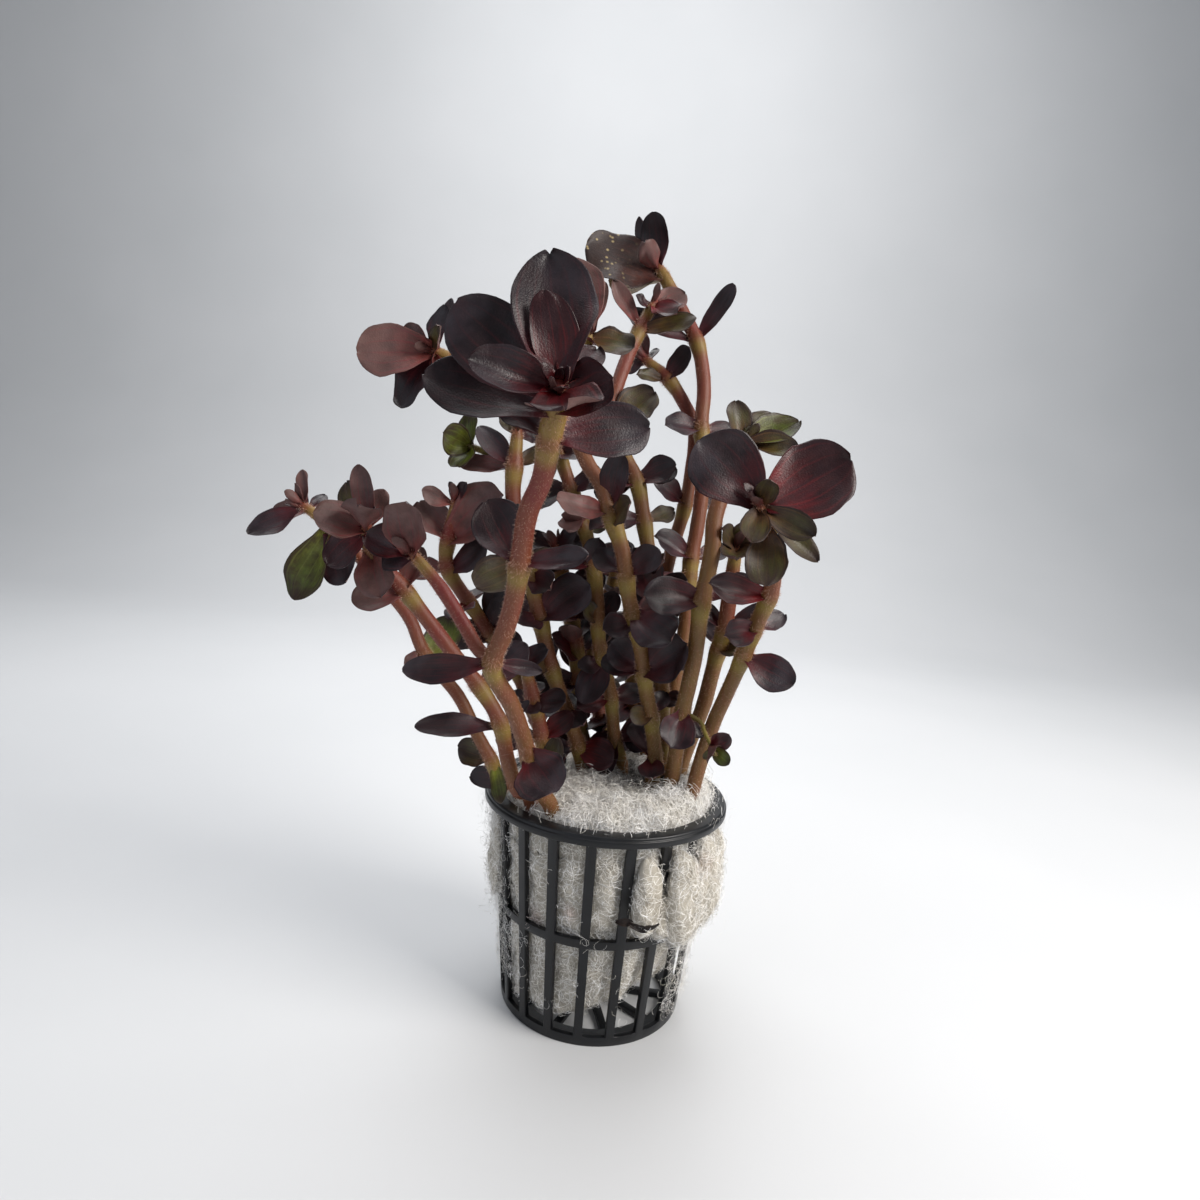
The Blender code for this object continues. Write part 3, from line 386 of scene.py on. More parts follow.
def basket_shell():
    """Rings and bars of the pot as one shell: points and faces, open where the slots are."""
    edges = bar_edges()
    levels = [0.0, BASE_RING_TOP, MID_RING_BOTTOM, MID_RING_TOP, RIM_BOTTOM]
    inside_levels = [BASE_THICKNESS] + levels[1:]
    rim = [
        (RIM_RADIUS, RIM_BOTTOM),
        (RIM_RADIUS, RIM_TOP - RIM_ROUND),
        (RIM_RADIUS - RIM_ROUND, RIM_TOP),
        (WALL_TOP_RADIUS - WALL_THICKNESS, RIM_TOP),
    ]
    foot = [(BASE_RING_INSIDE, BASE_THICKNESS), (BASE_RING_INSIDE, 0.0)]
    points = []

    def row(radius, height):
        start = len(points)
        points.extend(around(edge, radius, height) for edge in edges)
        return list(range(start, len(points)))

    outer = [row(wall_radius(z), z) for z in levels]
    inner = [row(wall_radius(z) - WALL_THICKNESS, z) for z in inside_levels]
    rim_rows = [row(radius, z) for radius, z in rim]
    foot_rows = [row(radius, z) for radius, z in foot]
    faces = []
    loops = [outer[-1]] + rim_rows + [inner[-1]]
    for low, high in zip(loops, loops[1:]):
        faces += bridge(low, high)
    loops = [inner[0]] + foot_rows + [outer[0]]
    for low, high in zip(loops, loops[1:]):
        faces += bridge(low, high)
    for wall in (outer, inner):
        faces += bridge(wall[0], wall[1])
        faces += bridge(wall[2], wall[3])
        for low in (1, 3):
            quads = bridge(wall[low], wall[low + 1])
            faces += quads[::2]
    for low in (1, 3):
        for edge in range(len(edges)):
            side = (outer[low][edge], inner[low][edge], inner[low + 1][edge], outer[low + 1][edge])
            faces.append(side)
    for level in (1, 2, 3, 4):
        quads = bridge(outer[level], inner[level])
        faces += quads[1::2]
    return points, faces


def catmull_rom(before, start, end, after, share):
    """A point on the smooth curve between start and end."""
    squared, cubed = share * share, share * share * share
    return 0.5 * (
        2 * start
        + (end - before) * share
        + (2 * before - 5 * start + 4 * end - after) * squared
        + (3 * start - before - 3 * end + after) * cubed
    )


def smooth_line(route):
    """Evenly spaced samples of the smooth curve through a route's points."""
    knots = [np.array(point, float) for point in route]
    knots = [2 * knots[0] - knots[1]] + knots + [2 * knots[-1] - knots[-2]]
    fine = []
    for before, start, end, after in zip(knots, knots[1:], knots[2:], knots[3:]):
        fine += [catmull_rom(before, start, end, after, step / 8) for step in range(8)]
    fine.append(knots[-2])
    fine = np.array(fine)
    run = np.concatenate([[0.0], np.cumsum(np.linalg.norm(np.diff(fine, axis=0), axis=1))])
    count = max(3, round(run[-1] / STEM_SAMPLE) + 1)
    wanted = np.linspace(0.0, run[-1], count)
    return np.stack([np.interp(wanted, run, fine[:, axis]) for axis in range(3)], axis=1)


def part_stems(lines, radii):
    """Where two stems would run through each other they lean apart, one forward and one back."""
    names = list(lines)
    for _ in range(PARTING_ROUNDS):
        pushes = {name: np.zeros(len(lines[name])) for name in names}
        for one, two in itertools.combinations(names, 2):
            if PARENTS.get(one) == two or PARENTS.get(two) == one:
                continue
            apart = lines[two][None] - lines[one][:, None]
            reach = radii[one] + radii[two] + STEM_GAP
            room = np.maximum(reach**2 - apart[..., 0] ** 2 - apart[..., 2] ** 2, 0.0)
            short = np.where(room > 0, np.sqrt(room) - np.abs(apart[..., 1]), 0.0)
            short = np.maximum(short, 0.0)
            way = np.sign(apart[..., 1].sum() + 1e-9)
            push = 0.5 * short * np.where(apart[..., 1] == 0, way, np.sign(apart[..., 1]))
            first, second = np.abs(push).argmax(axis=1), np.abs(push).argmax(axis=0)
            pushes[one] -= push[np.arange(len(push)), first]
            pushes[two] += push[second, np.arange(push.shape[1])]
        for name, push in pushes.items():
            spread = np.convolve(np.pad(push, 3, mode="edge"), np.ones(7) / 7, mode="valid")
            lines[name][:, 1] += np.where(np.abs(spread) > np.abs(push), spread, push)
            eased = lines[name][:, 1].copy()
            eased[1:-1] = 0.5 * eased[1:-1] + 0.25 * (eased[:-2] + eased[2:])
            lines[name][:, 1] = eased
    for branch, parent in PARENTS.items():
        nearest = np.linalg.norm(lines[parent] - lines[branch][0], axis=1).argmin()
        lines[branch][0] = lines[parent][nearest]


def tangent(line, index):
    low, high = max(index - 1, 0), min(index + 1, len(line) - 1)
    step = line[high] - line[low]
    return step / np.linalg.norm(step)


def stem_radius(radius, line, index):
    """The stem's radius at a sample: even, then tapering over its last stretch."""
    left = (len(line) - 1 - index) * STEM_SAMPLE
    return radius * min(1.0, STEM_TIP_SHARE + (1 - STEM_TIP_SHARE) * left / STEM_TAPER)


def ring_samples(line):
    """Which samples carry a ring: the foot, one just over the pot's rim, then every few."""
    above = [i for i, point in enumerate(line) if point[2] > POT_MOUTH]
    every = round(STEM_RING_EVERY / STEM_SAMPLE)
    if line[0][2] > POT_MOUTH:
        chosen = list(range(0, len(line) - 1, max(1, every // 2)))
    else:
        chosen = [0] + above[: -1 : every]
    if len(line) - 1 - chosen[-1] < 2 and len(chosen) > 2:
        chosen.pop()
    return chosen + [len(line) - 1]


def tube(centres, sizes):
    """A closed tube with a ring of this size round each of these centres."""
    across = np.array([0.0, 1.0, 0.0])
    points, faces, rows = [], [], []
    for index, (centre, size) in enumerate(zip(centres, sizes)):
        along = tangent(centres, index)
        across = across - along * across.dot(along)
        across /= np.linalg.norm(across)
        other = np.cross(along, across)
        start = len(points)
        for side in range(STEM_SIDES):
            turn = 2 * math.pi * side / STEM_SIDES
            points.append(tuple(centre + size * (math.cos(turn) * across + math.sin(turn) * other)))
        rows.append(list(range(start, len(points))))
    for low, high in zip(rows, rows[1:]):
        faces += bridge(low, high)
    faces += [tuple(rows[0]), tuple(rows[-1])]
    return points, faces


def stem_tube(line, radius, grow=0.0):
    rings = ring_samples(line)
    return tube([line[i] for i in rings], [stem_radius(radius, line, i) + grow for i in rings])


def tube_middle(line, index):
    """The middle of the stem's tube at a sample: on the straight between the rings either side."""
    rings = ring_samples(line)
    return np.array([np.interp(index, rings, [line[i][axis] for i in rings]) for axis in range(3)])


def heading_vector(heading, rise):
    turn, lift = math.radians(heading), math.radians(rise)
    return np.array([math.cos(lift) * math.cos(turn), math.cos(lift) * math.sin(turn), math.sin(lift)])


def upper_side(way, stem_way, roll):
    """The way a leaf's upper side faces: between the stem's tip and the light, which is at the front."""
    facing = stem_way + np.array([0.0, -LIGHT_PULL, 0.0])
    if np.linalg.norm(np.cross(facing, way)) < LEAST_FACING:
        facing = stem_way
    normal = facing - way * facing.dot(way)
    normal /= np.linalg.norm(normal)
    turn = math.radians(roll)
    return math.cos(turn) * normal + math.sin(turn) * np.cross(way, normal)


def leaf(base, way, normal, length, width, outline, grow=0.0):
    """A closed blade, flat above and keeled below: rings of two edges and the midrib, then a tip."""
    side = np.cross(way, normal)
    points, faces, rows = [], [], []
    for share, spread in outline:
        middle = base + way * length * share + normal * LEAF_CURL * length * share**2
        half = 0.5 * width * spread
        keel = normal * (LEAF_KEEL * (1.0 - KEEL_FADE * share) + grow)
        edge = side * (half + grow)
        start = len(points)
        points += [middle - edge + normal * grow, middle + edge + normal * grow, middle - keel]
        rows.append(list(range(start, start + 3)))
    points.append(base + way * (length + grow) + normal * LEAF_CURL * length)
    for low, high in zip(rows, rows[1:]):
        faces += bridge(low, high)
    faces.append(tuple(rows[0]))
    faces += [(a, b, len(points) - 1) for a, b, *_ in bridge(rows[-1], rows[-1])]
    return [tuple(point) for point in points], faces


def outer_part(outline):
    return [(share, spread) for share, spread in outline if share >= FREE_PART or share == outline[1][0]]


def surface(shape):
    return BVHTree.FromPolygons(*shape)


class Crowd:
    """What stands in the way of a leaf: all stems, the pot, the wool, and the leaves already placed."""

    def __init__(self):
        self.things = []

    def add(self, owner, whole, outer):
        self.things.append((owner, surface(whole), surface(outer)))

    def is_clear(self, owner, whole, outer):
        whole, outer = surface(whole), surface(outer)
        for other, other_whole, other_outer in self.things:
            if other == owner:
                if outer.overlap(other_outer):
                    return False
            elif whole.overlap(other_whole):
                return False
        return True


def leaf_tries():
    swings = list(itertools.product(LEAF_SWINGS, LEAF_SWINGS))
    swings.sort(key=lambda swing: abs(swing[0]) + abs(swing[1]))
    return [(turn, lift, size) for size in LEAF_SIZES for turn, lift in swings]


def place_leaf(crowd, owner, line, radius, wanted):
    """The first way of turning, lifting or shrinking this leaf that keeps it clear of the rest."""
    index, heading, rise, length, roll, ratio = wanted
    along, middle = tangent(line, index), tube_middle(line, index)
    for turn, lift, size in leaf_tries():
        way = heading_vector(heading + turn, rise + lift)
        normal = upper_side(way, along, roll)
        base = middle + way * LEAF_ROOT * radius
        long, wide = length * size, length * size * ratio
        outline = next(shape for least, shape in LEAF_OUTLINES if long > least)
        shape = (base, way, normal, long, wide)
        outer = outer_part(outline)
        if crowd.is_clear(owner, leaf(*shape, outline, LEAF_GAP), leaf(*shape, outer, LEAF_GAP)):
            crowd.add(owner, leaf(*shape, outline), leaf(*shape, outer))
            return shape + (outline,)
    return None


def opposite(heading, rise, along):
    """Heading and rise of a leaf turned half round the stem."""
    way = heading_vector(heading, rise)
    other = 2 * way.dot(along) * along - way
    return math.degrees(math.atan2(other[1], other[0])), math.degrees(math.asin(other[2]))


def wanted_leaves(line, leaves):
    """Every leaf of a shoot, with each opposite pair written out as two."""
    for place, heading, rise, length, other_length, roll, ratio in leaves:
        index = min(round(place / STEM_SAMPLE), len(line) - 2)
        yield index, heading, rise, length, roll, ratio
        if other_length:
            turned, lifted = opposite(heading, rise, tangent(line, index))
            yield index, turned, lifted, other_length, -roll, ratio


def grow_shoots(solid_neighbours):
    """Lines of all stems and the leaves that found room, by shoot."""
    lines = {name: smooth_line(route) for name, (_, route, _) in SHOOTS.items()}
    radii = {name: radius for name, (radius, _, _) in SHOOTS.items()}
    part_stems(lines, radii)
    crowd = Crowd()
    for neighbour in solid_neighbours:
        crowd.add(None, neighbour, neighbour)
    for name, line in lines.items():
        body = stem_tube(line[FORK_ROOT:] if name in FORKS else line, radii[name])
        crowd.add(SIDE_GROWTHS.get(name, name), body, body)
    placed = {name: [] for name in SHOOTS}
    for name, (radius, _, leaves) in SHOOTS.items():
        for wanted in wanted_leaves(lines[name], leaves):
            found = place_leaf(crowd, SIDE_GROWTHS.get(name, name), lines[name], radius, wanted)
            if found:
                placed[name].append((wanted, found))
    for name, wanted in filling_leaves(lines):
        found = place_leaf(crowd, name, lines[name], SHOOTS[name][0], wanted)
        if found:
            placed[name].append((wanted, found))
    return lines, placed


def filling_leaves(lines):
    """Small leaves on the inner stems, as crowded as the plant grows on its left side."""
    rng = np.random.default_rng(21)
    for name, first, last, step in FILLING:
        for place in np.arange(first, last, step):
            heading, rise = rng.uniform(-180.0, 180.0), rng.uniform(-20.0, 45.0)
            length, ratio = rng.uniform(6.0, 9.5), rng.uniform(0.6, 0.8)
            leaves = [(float(place), heading, rise, length, length * 0.9, 0.0, ratio)]
            for wanted in wanted_leaves(lines[name], leaves):
                yield name, wanted


def wool_core():
    """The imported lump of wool: rings fitted to the pot's inside, a little uneven and lower on the left."""
    rng = np.random.default_rng(7)
    points, faces, rows = [(0.0, 0.0, WOOL_PROFILE[0][0])], [], []
    for height, share in WOOL_PROFILE:
        room = wall_radius(min(height, RIM_BOTTOM)) - WALL_THICKNESS - WOOL_CLEARANCE
        start = len(points)
        for side in range(WOOL_SIDES):
            radius = room * share * (1.0 - WOOL_LUMP * rng.random())
            x, y, z = around(360.0 * side / WOOL_SIDES, radius, height)
            points.append((x, y, z + wool_rise(x, z) - wool_sag(x, y, z)))
        rows.append(list(range(start, len(points))))
    points.append((0.0, 0.0, WOOL_CROWN))
    for low, high in zip(rows, rows[1:]):
        faces += bridge(low, high)
    faces += [(0, a, b) for a, b, *_ in bridge(rows[0], rows[0])]
    faces += [(len(points) - 1, a, b) for a, b, *_ in bridge(rows[-1], rows[-1])]
    return points, faces


def wool_rise(x, height):
    """How much the wool's crown stands up on the right and sinks on the left."""
    return WOOL_LEAN * x if height > WOOL_LEAN_FROM else 0.0


def wool_sag(x, y, height):
    """How far the lump's lower edge hangs down at the front, most of all on the left."""
    forward = around(WOOL_SAG_SIDE, 1.0, 0.0)
    front = min(1.0, max(0.0, (x * forward[0] + y * forward[1] - 7.5) / 5.0))
    return max(0.0, WOOL_SAG - WOOL_SAG_LEAN * x) * front if height < WOOL_SAG_BELOW else 0.0


# ---- Detailed shoots -------------------------------------------------------------------------------

STEM_FINE_SIDES = 12
STEM_FINE_STEP = 1.0
JOINT_SWELL = 0.14
# How far below its tip a stem stays red before it turns olive
RED_REACH = {"right_shoot": 32, "right_inner_shoot": 34, "right_rear_shoot": 32, "second_top_shoot": 70,
             "third_top_shoot": 80, "green_head_shoot": 80, "inner_right_shoot": 60}
RED_REACH_ELSEWHERE = 100
JOINT_REACH = 1.5
HAIRS_PER_MM2 = 7.5
HAIR_LENGTH = (0.25, 0.65)
HAIR_WIDTH = 0.055
LEAF_ROWS = 15
LEAF_COLUMNS = 10
LEAF_THICKNESS = 0.42
BLADE_WIDTHS = [(0.0, 0.22), (0.06, 0.28), (0.18, 0.56), (0.3, 0.79), (0.44, 0.95), (0.58, 1.0),
                (0.72, 0.96), (0.84, 0.8), (0.92, 0.6), (0.97, 0.37), (1.0, 0.1)]


def refine(line, step):
    """The same curve as a sampled line, sampled more closely."""
    knots = [2 * line[0] - line[1]] + list(line) + [2 * line[-1] - line[-2]]
    fine = []
    for before, start, end, after in zip(knots, knots[1:], knots[2:], knots[3:]):
        fine += [catmull_rom(before, start, end, after, part / 4) for part in range(4)]
    fine.append(knots[-2])
    fine = np.array(fine)
    run = np.concatenate([[0.0], np.cumsum(np.linalg.norm(np.diff(fine, axis=0), axis=1))])
    wanted = np.linspace(0.0, run[-1], max(4, round(run[-1] / step) + 1))
    return np.stack([np.interp(wanted, run, fine[:, axis]) for axis in range(3)], axis=1)


def frames_along(line):
    """Two cross directions at each sample, carried along without twist."""
    across = np.array([0.0, 1.0, 0.0])
    result = []
    for index in range(len(line)):
        along = tangent(line, index)
        across = across - along * across.dot(along)
        across /= np.linalg.norm(across)
        result.append((along, across, np.cross(along, across)))
    return result


class Mesh:
    """Points, faces, one finish number a face, and three numbers a point for the materials to read."""

    def __init__(self):
        self.points, self.faces, self.finishes, self.marks = [], [], [], []

    def add(self, points, faces, finish, marks):
        start = len(self.points)
        self.points.extend(tuple(float(x) for x in point) for point in points)
        self.faces.extend(tuple(start + corner for corner in face) for face in faces)
        self.finishes.extend(finish if isinstance(finish, list) else [finish] * len(faces))
        self.marks.extend(marks)

    def to_object(self, name, materials, smooth_angle=None):
        mesh = bpy.data.meshes.new(name)
        mesh.from_pydata([(x * MM, y * MM, z * MM) for x, y, z in self.points], [], self.faces)
        for finish in materials:
            mesh.materials.append(finish)
        mesh.polygons.foreach_set("material_index", self.finishes)
        mesh.polygons.foreach_set("use_smooth", [True] * len(self.faces))
        marks = mesh.attributes.new("marks", "FLOAT_VECTOR", "POINT")
        marks.data.foreach_set("vector", np.array(self.marks, dtype=np.float32).ravel())
        mesh.update()
        piece = bpy.data.objects.new(name, mesh)
        bpy.context.scene.collection.objects.link(piece)
        if smooth_angle is not None:
            mesh.set_sharp_from_angle(angle=math.radians(smooth_angle))
        return piece


def stem_surface(mesh, line, radius, joints, greenness, red_reach, finish, hair_finish, rng):
    """The stem's skin with swollen joints, and its hairs."""
    fine = refine(line, STEM_FINE_STEP)
    frames = frames_along(fine)
    run = np.linspace(0.0, (len(line) - 1) * STEM_SAMPLE, len(fine))
    places = np.array([place * STEM_SAMPLE for place in joints] or [-99.0])
    nearness = np.exp(-(((run[:, None] - places[None]) / JOINT_REACH) ** 2)).max(axis=1)
    collar = np.exp(-(((run[:, None] - places[None] + 1.6) / 1.7) ** 2)).max(axis=1)
    left = run[-1] - run
    base = radius * np.minimum(1.0, STEM_TIP_SHARE + (1 - STEM_TIP_SHARE) * left / STEM_TAPER)
    sizes = base * (0.95 + JOINT_SWELL * nearness + 0.07 * collar)
    age = np.clip(1.0 - left / red_reach, 0.0, 1.0)
    points, marks, rows, faces = [], [], [], []
    for index, (centre, (along, across, other)) in enumerate(zip(fine, frames)):
        start = len(points)
        for side in range(STEM_FINE_SIDES):
            turn = 2 * math.pi * side / STEM_FINE_SIDES
            out = math.cos(turn) * across + math.sin(turn) * other
            wobble = 1.0 + 0.05 * noise.noise(Vector(centre * 0.35 + out))
            points.append(centre + out * sizes[index] * wobble)
            marks.append((age[index], collar[index], greenness))
        rows.append(list(range(start, len(points))))
    for low, high in zip(rows, rows[1:]):
        faces += bridge(low, high)
    faces += [tuple(rows[0][::-1]), tuple(rows[-1])]
    mesh.add(points, faces, finish, marks)
    add_hairs(mesh, fine, frames, sizes, nearness, left, hair_finish, rng)


def add_hairs(mesh, line, frames, sizes, nearness, left, finish, rng):
    """Fine pale hairs that stand out from the skin, longer and closer at the joints and the tip."""
    points, faces, marks = [], [], []
    for index in range(len(line) - 1):
        if line[index][2] < POT_MOUTH + 1.0:
            continue
        along, across, other = frames[index]
        step = np.linalg.norm(line[index + 1] - line[index])
        thick = 1.0 + 0.9 * nearness[index] + 0.7 * math.exp(-left[index] / 6.0)
        count = rng.poisson(HAIRS_PER_MM2 * 2 * math.pi * sizes[index] * step * thick)
        for _ in range(count):
            turn = rng.uniform(0, 2 * math.pi)
            out = math.cos(turn) * across + math.sin(turn) * other
            side = np.cross(out, along)
            root = line[index] + (line[index + 1] - line[index]) * rng.random() + out * sizes[index] * 0.94
            lean = out + along * rng.uniform(-0.15, 0.3) + side * rng.uniform(-0.3, 0.3)
            lean /= np.linalg.norm(lean)
            length = rng.uniform(*HAIR_LENGTH) * (0.8 + 0.35 * nearness[index])
            flat = np.cross(lean, rng.normal(size=3))
            flat *= 0.5 * HAIR_WIDTH / np.linalg.norm(flat)
            bend = lean * length + np.array([0.0, 0.0, -0.12 * length])
            start = len(points)
            points += [root - flat, root + flat, root + bend]
            faces.append((start, start + 1, start + 2))
            shade = rng.random()
            marks += [(0.0, shade, 0.0), (0.0, shade, 0.0), (1.0, shade, 0.0)]
    mesh.add(points, faces, finish, marks)


def blade(base, way, normal, length, width, look, seed, row_count, column_count):
    """One leaf: upper and lower skins meeting at the edge, cupped, waved, and grooved at the midrib."""
    rng = np.random.default_rng(seed)
    side = np.cross(way, normal)
    cup = rng.uniform(0.05, 0.2) * (1.6 if look in "gob" else 1.0)
    wave, phase = rng.uniform(0.025, 0.07), rng.uniform(0, 6.28)
    bow = rng.uniform(-0.09, 0.09)
    twist = rng.uniform(-0.28, 0.28)
    fold, lean = rng.uniform(-0.05, 0.42), rng.uniform(-0.11, 0.11)
    hook, ripple = rng.uniform(-0.12, 0.06), rng.uniform(6.0, 12.0)
    shares = np.array([math.sin(0.5 * math.pi * (row / row_count) ** 0.92) for row in range(row_count + 1)])
    widths = np.interp(shares, *np.array(BLADE_WIDTHS).T)
    widths = np.convolve(np.pad(widths, 1, mode="edge"), [0.2, 0.6, 0.2], mode="valid")
    columns = [math.sin(0.5 * math.pi * (2 * col / column_count - 1)) for col in range(column_count + 1)]
    half = 0.5 * width
    upper, lower, marks = [], [], []
    for share, spread in zip(shares, widths):
        for col, across in enumerate(columns):
            reach = share
            if look == "t" and share > 0.7:
                torn = noise.noise(Vector((across * 2.6 + seed, 0.3, 0.0)))
                torn += 0.7 * noise.noise(Vector((across * 7.0, seed + 0.7, 0.0)))
                reach = 0.7 + (share - 0.7) * max(0.1, 1.0 - 1.5 * max(0.0, torn + 0.1))
            sideways = across * half * spread * (1.0 + lean * math.copysign(1.0, across))
            sideways *= 1.0 + 0.09 * noise.noise(Vector((share * 5.0, 3.0 * math.copysign(1.0, across), seed * 0.7)))
            turn = twist * share
            edge = abs(across)
            lift = cup * half * edge**2 * math.sin(math.pi * min(1.0, 0.15 + share))
            lift += wave * width * edge**1.5 * math.sin(phase + ripple * share + 1.4 * across)
            lift += fold * half * edge * (1.0 - 0.5 * share) + hook * length * share**3
            lift += 0.34 * noise.noise(Vector((across * 1.6, share * 2.8, seed * 0.37)))
            lift += 0.12 * noise.noise(Vector((across * 4.5, share * 3.2, seed * 0.61)))
            lift -= 0.05 * half * math.exp(-((across / 0.13) ** 2)) * (1.0 - 0.6 * share)
            lift += sideways * math.sin(turn)
            middle = base + way * length * reach * 1.0 + side * bow * length * share**2
            middle = middle + normal * (LEAF_CURL * length * share**2)
            thick = LEAF_THICKNESS * (1.0 - 0.45 * share) * (1.0 - 0.75 * edge**3) * (0.6 + 0.4 * spread)
            point = middle + side * sideways * math.cos(turn) + normal * lift
            keel = 0.3 * math.exp(-((across / 0.16) ** 2)) * (1.0 - 0.75 * share)
            upper.append(point)
            lower.append(point - normal * (thick + keel))
            marks.append((across, share, (seed % 997) / 997.0))
    return upper, lower, marks


def add_leaf(mesh, shape, look, seed, finishes, row_count=LEAF_ROWS, column_count=LEAF_COLUMNS):
    upper, lower, marks = blade(*shape[:5], look, seed, row_count, column_count)
    across = column_count + 1
    top, bottom, rim = [], [], []
    under = len(upper)
    for row in range(row_count):
        for col in range(column_count):
            a = row * across + col
            quad = (a, a + 1, a + across + 1, a + across)
            top.append(quad)
            bottom.append(tuple(under + corner for corner in quad[::-1]))
    for row in range(row_count):
        first, last = row * across, row * across + column_count
        rim.append((first, first + across, under + first + across, under + first))
        rim.append((last + across, last, under + last, under + last + across))
    end = row_count * across
    for col in range(column_count):
        rim.append((end + col, end + col + 1, under + end + col + 1, under + end + col))
        rim.append((col + 1, col, under + col, under + col + 1))
    upside, downside = finishes
    finish = [upside] * len(top) + [downside] * len(bottom) + [upside] * len(rim)
    mesh.add(upper + lower, top + bottom + rim, finish, marks + marks)


def build_shoots(lines, placed, finishes):
    """One detailed piece for each shoot solid, with its side growth where it has one."""
    pieces = {}
    for name in SHOOTS:
        owner = SIDE_GROWTHS.get(name, name)
        mesh = pieces.setdefault(owner, Mesh())
        rng = np.random.default_rng(sum(ord(letter) for letter in name))
        radius = SHOOTS[name][0]
        line = lines[name]
        joints = sorted({wanted[0] for wanted, _ in placed[name]})
        greenness = 1.0 if name in ("green_bud_branch", "side_plantlet") else 0.0
        if name in GREEN_SHOOTS:
            greenness = 0.15
        red_reach = RED_REACH.get(name, RED_REACH_ELSEWHERE)
        stem_surface(mesh, line, radius, joints, greenness, red_reach, STEM, HAIR, rng)
        looks = LEAF_LOOKS.get(name, "")
        for count, (wanted, shape) in enumerate(placed[name]):
            look = looks[count] if count < len(looks) else "ddrdddod"[count % 8]
            add_leaf(mesh, shape, look, 31 * count + 977 * len(pieces), LOOK_FINISHES[look])
        if greenness < 1.0:
            add_bud(mesh, line, radius, rng, "g" if name in GREEN_SHOOTS else "r")
    made = []
    for name, mesh in pieces.items():
        piece = mesh.to_object(name + "_detail", finishes)
        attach(piece, "root")
        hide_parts(name)
        made.append(piece)
    return made


def add_bud(mesh, line, radius, rng, look):
    """The furled young leaves at the tip of a stem."""
    tip, along = line[-1], tangent(line, len(line) - 1)
    _, across, other = frames_along(line)[-1]
    for count in range(5):
        turn = count * 2.4 + rng.uniform(-0.3, 0.3)
        out = math.cos(turn) * across + math.sin(turn) * other
        spread = 0.25 + 0.12 * count
        way = along + out * spread
        way /= np.linalg.norm(way)
        normal = along - way * along.dot(way)
        if np.linalg.norm(normal) < 0.1:
            normal = -out + way * out.dot(way)
        normal = -out + way * out.dot(way)
        normal /= np.linalg.norm(normal)
        length = 2.6 + 0.35 * count
        shape = (tip - along * 0.8 + out * 0.25 * radius, way, normal, length, length * 0.5)
        add_leaf(mesh, shape, look, 7 * count + 3, LOOK_FINISHES[look], 6, 4)


# ---- Net pot ----------------------------------------------------------------------------------------

SLOT_PARTS = 4
BAR_PARTS = 2
LIP_STEP = 0.3
EDGE_ROUND = 0.16


def pot_columns():
    """Azimuths round the pot, several to a bar and several to a slot, and which spans are bars."""
    edges = bar_edges()
    azimuths, is_bar = [], []
    for bar in range(BAR_COUNT):
        start, end = edges[2 * bar], edges[2 * bar + 1]
        following = edges[(2 * bar + 2) % len(edges)] + (360.0 if bar == BAR_COUNT - 1 else 0.0)
        azimuths += [start + (end - start) * part / BAR_PARTS for part in range(BAR_PARTS)]
        is_bar += [True] * BAR_PARTS
        azimuths += [end + (following - end) * part / SLOT_PARTS for part in range(SLOT_PARTS)]
        is_bar += [False] * SLOT_PARTS
    return azimuths, is_bar


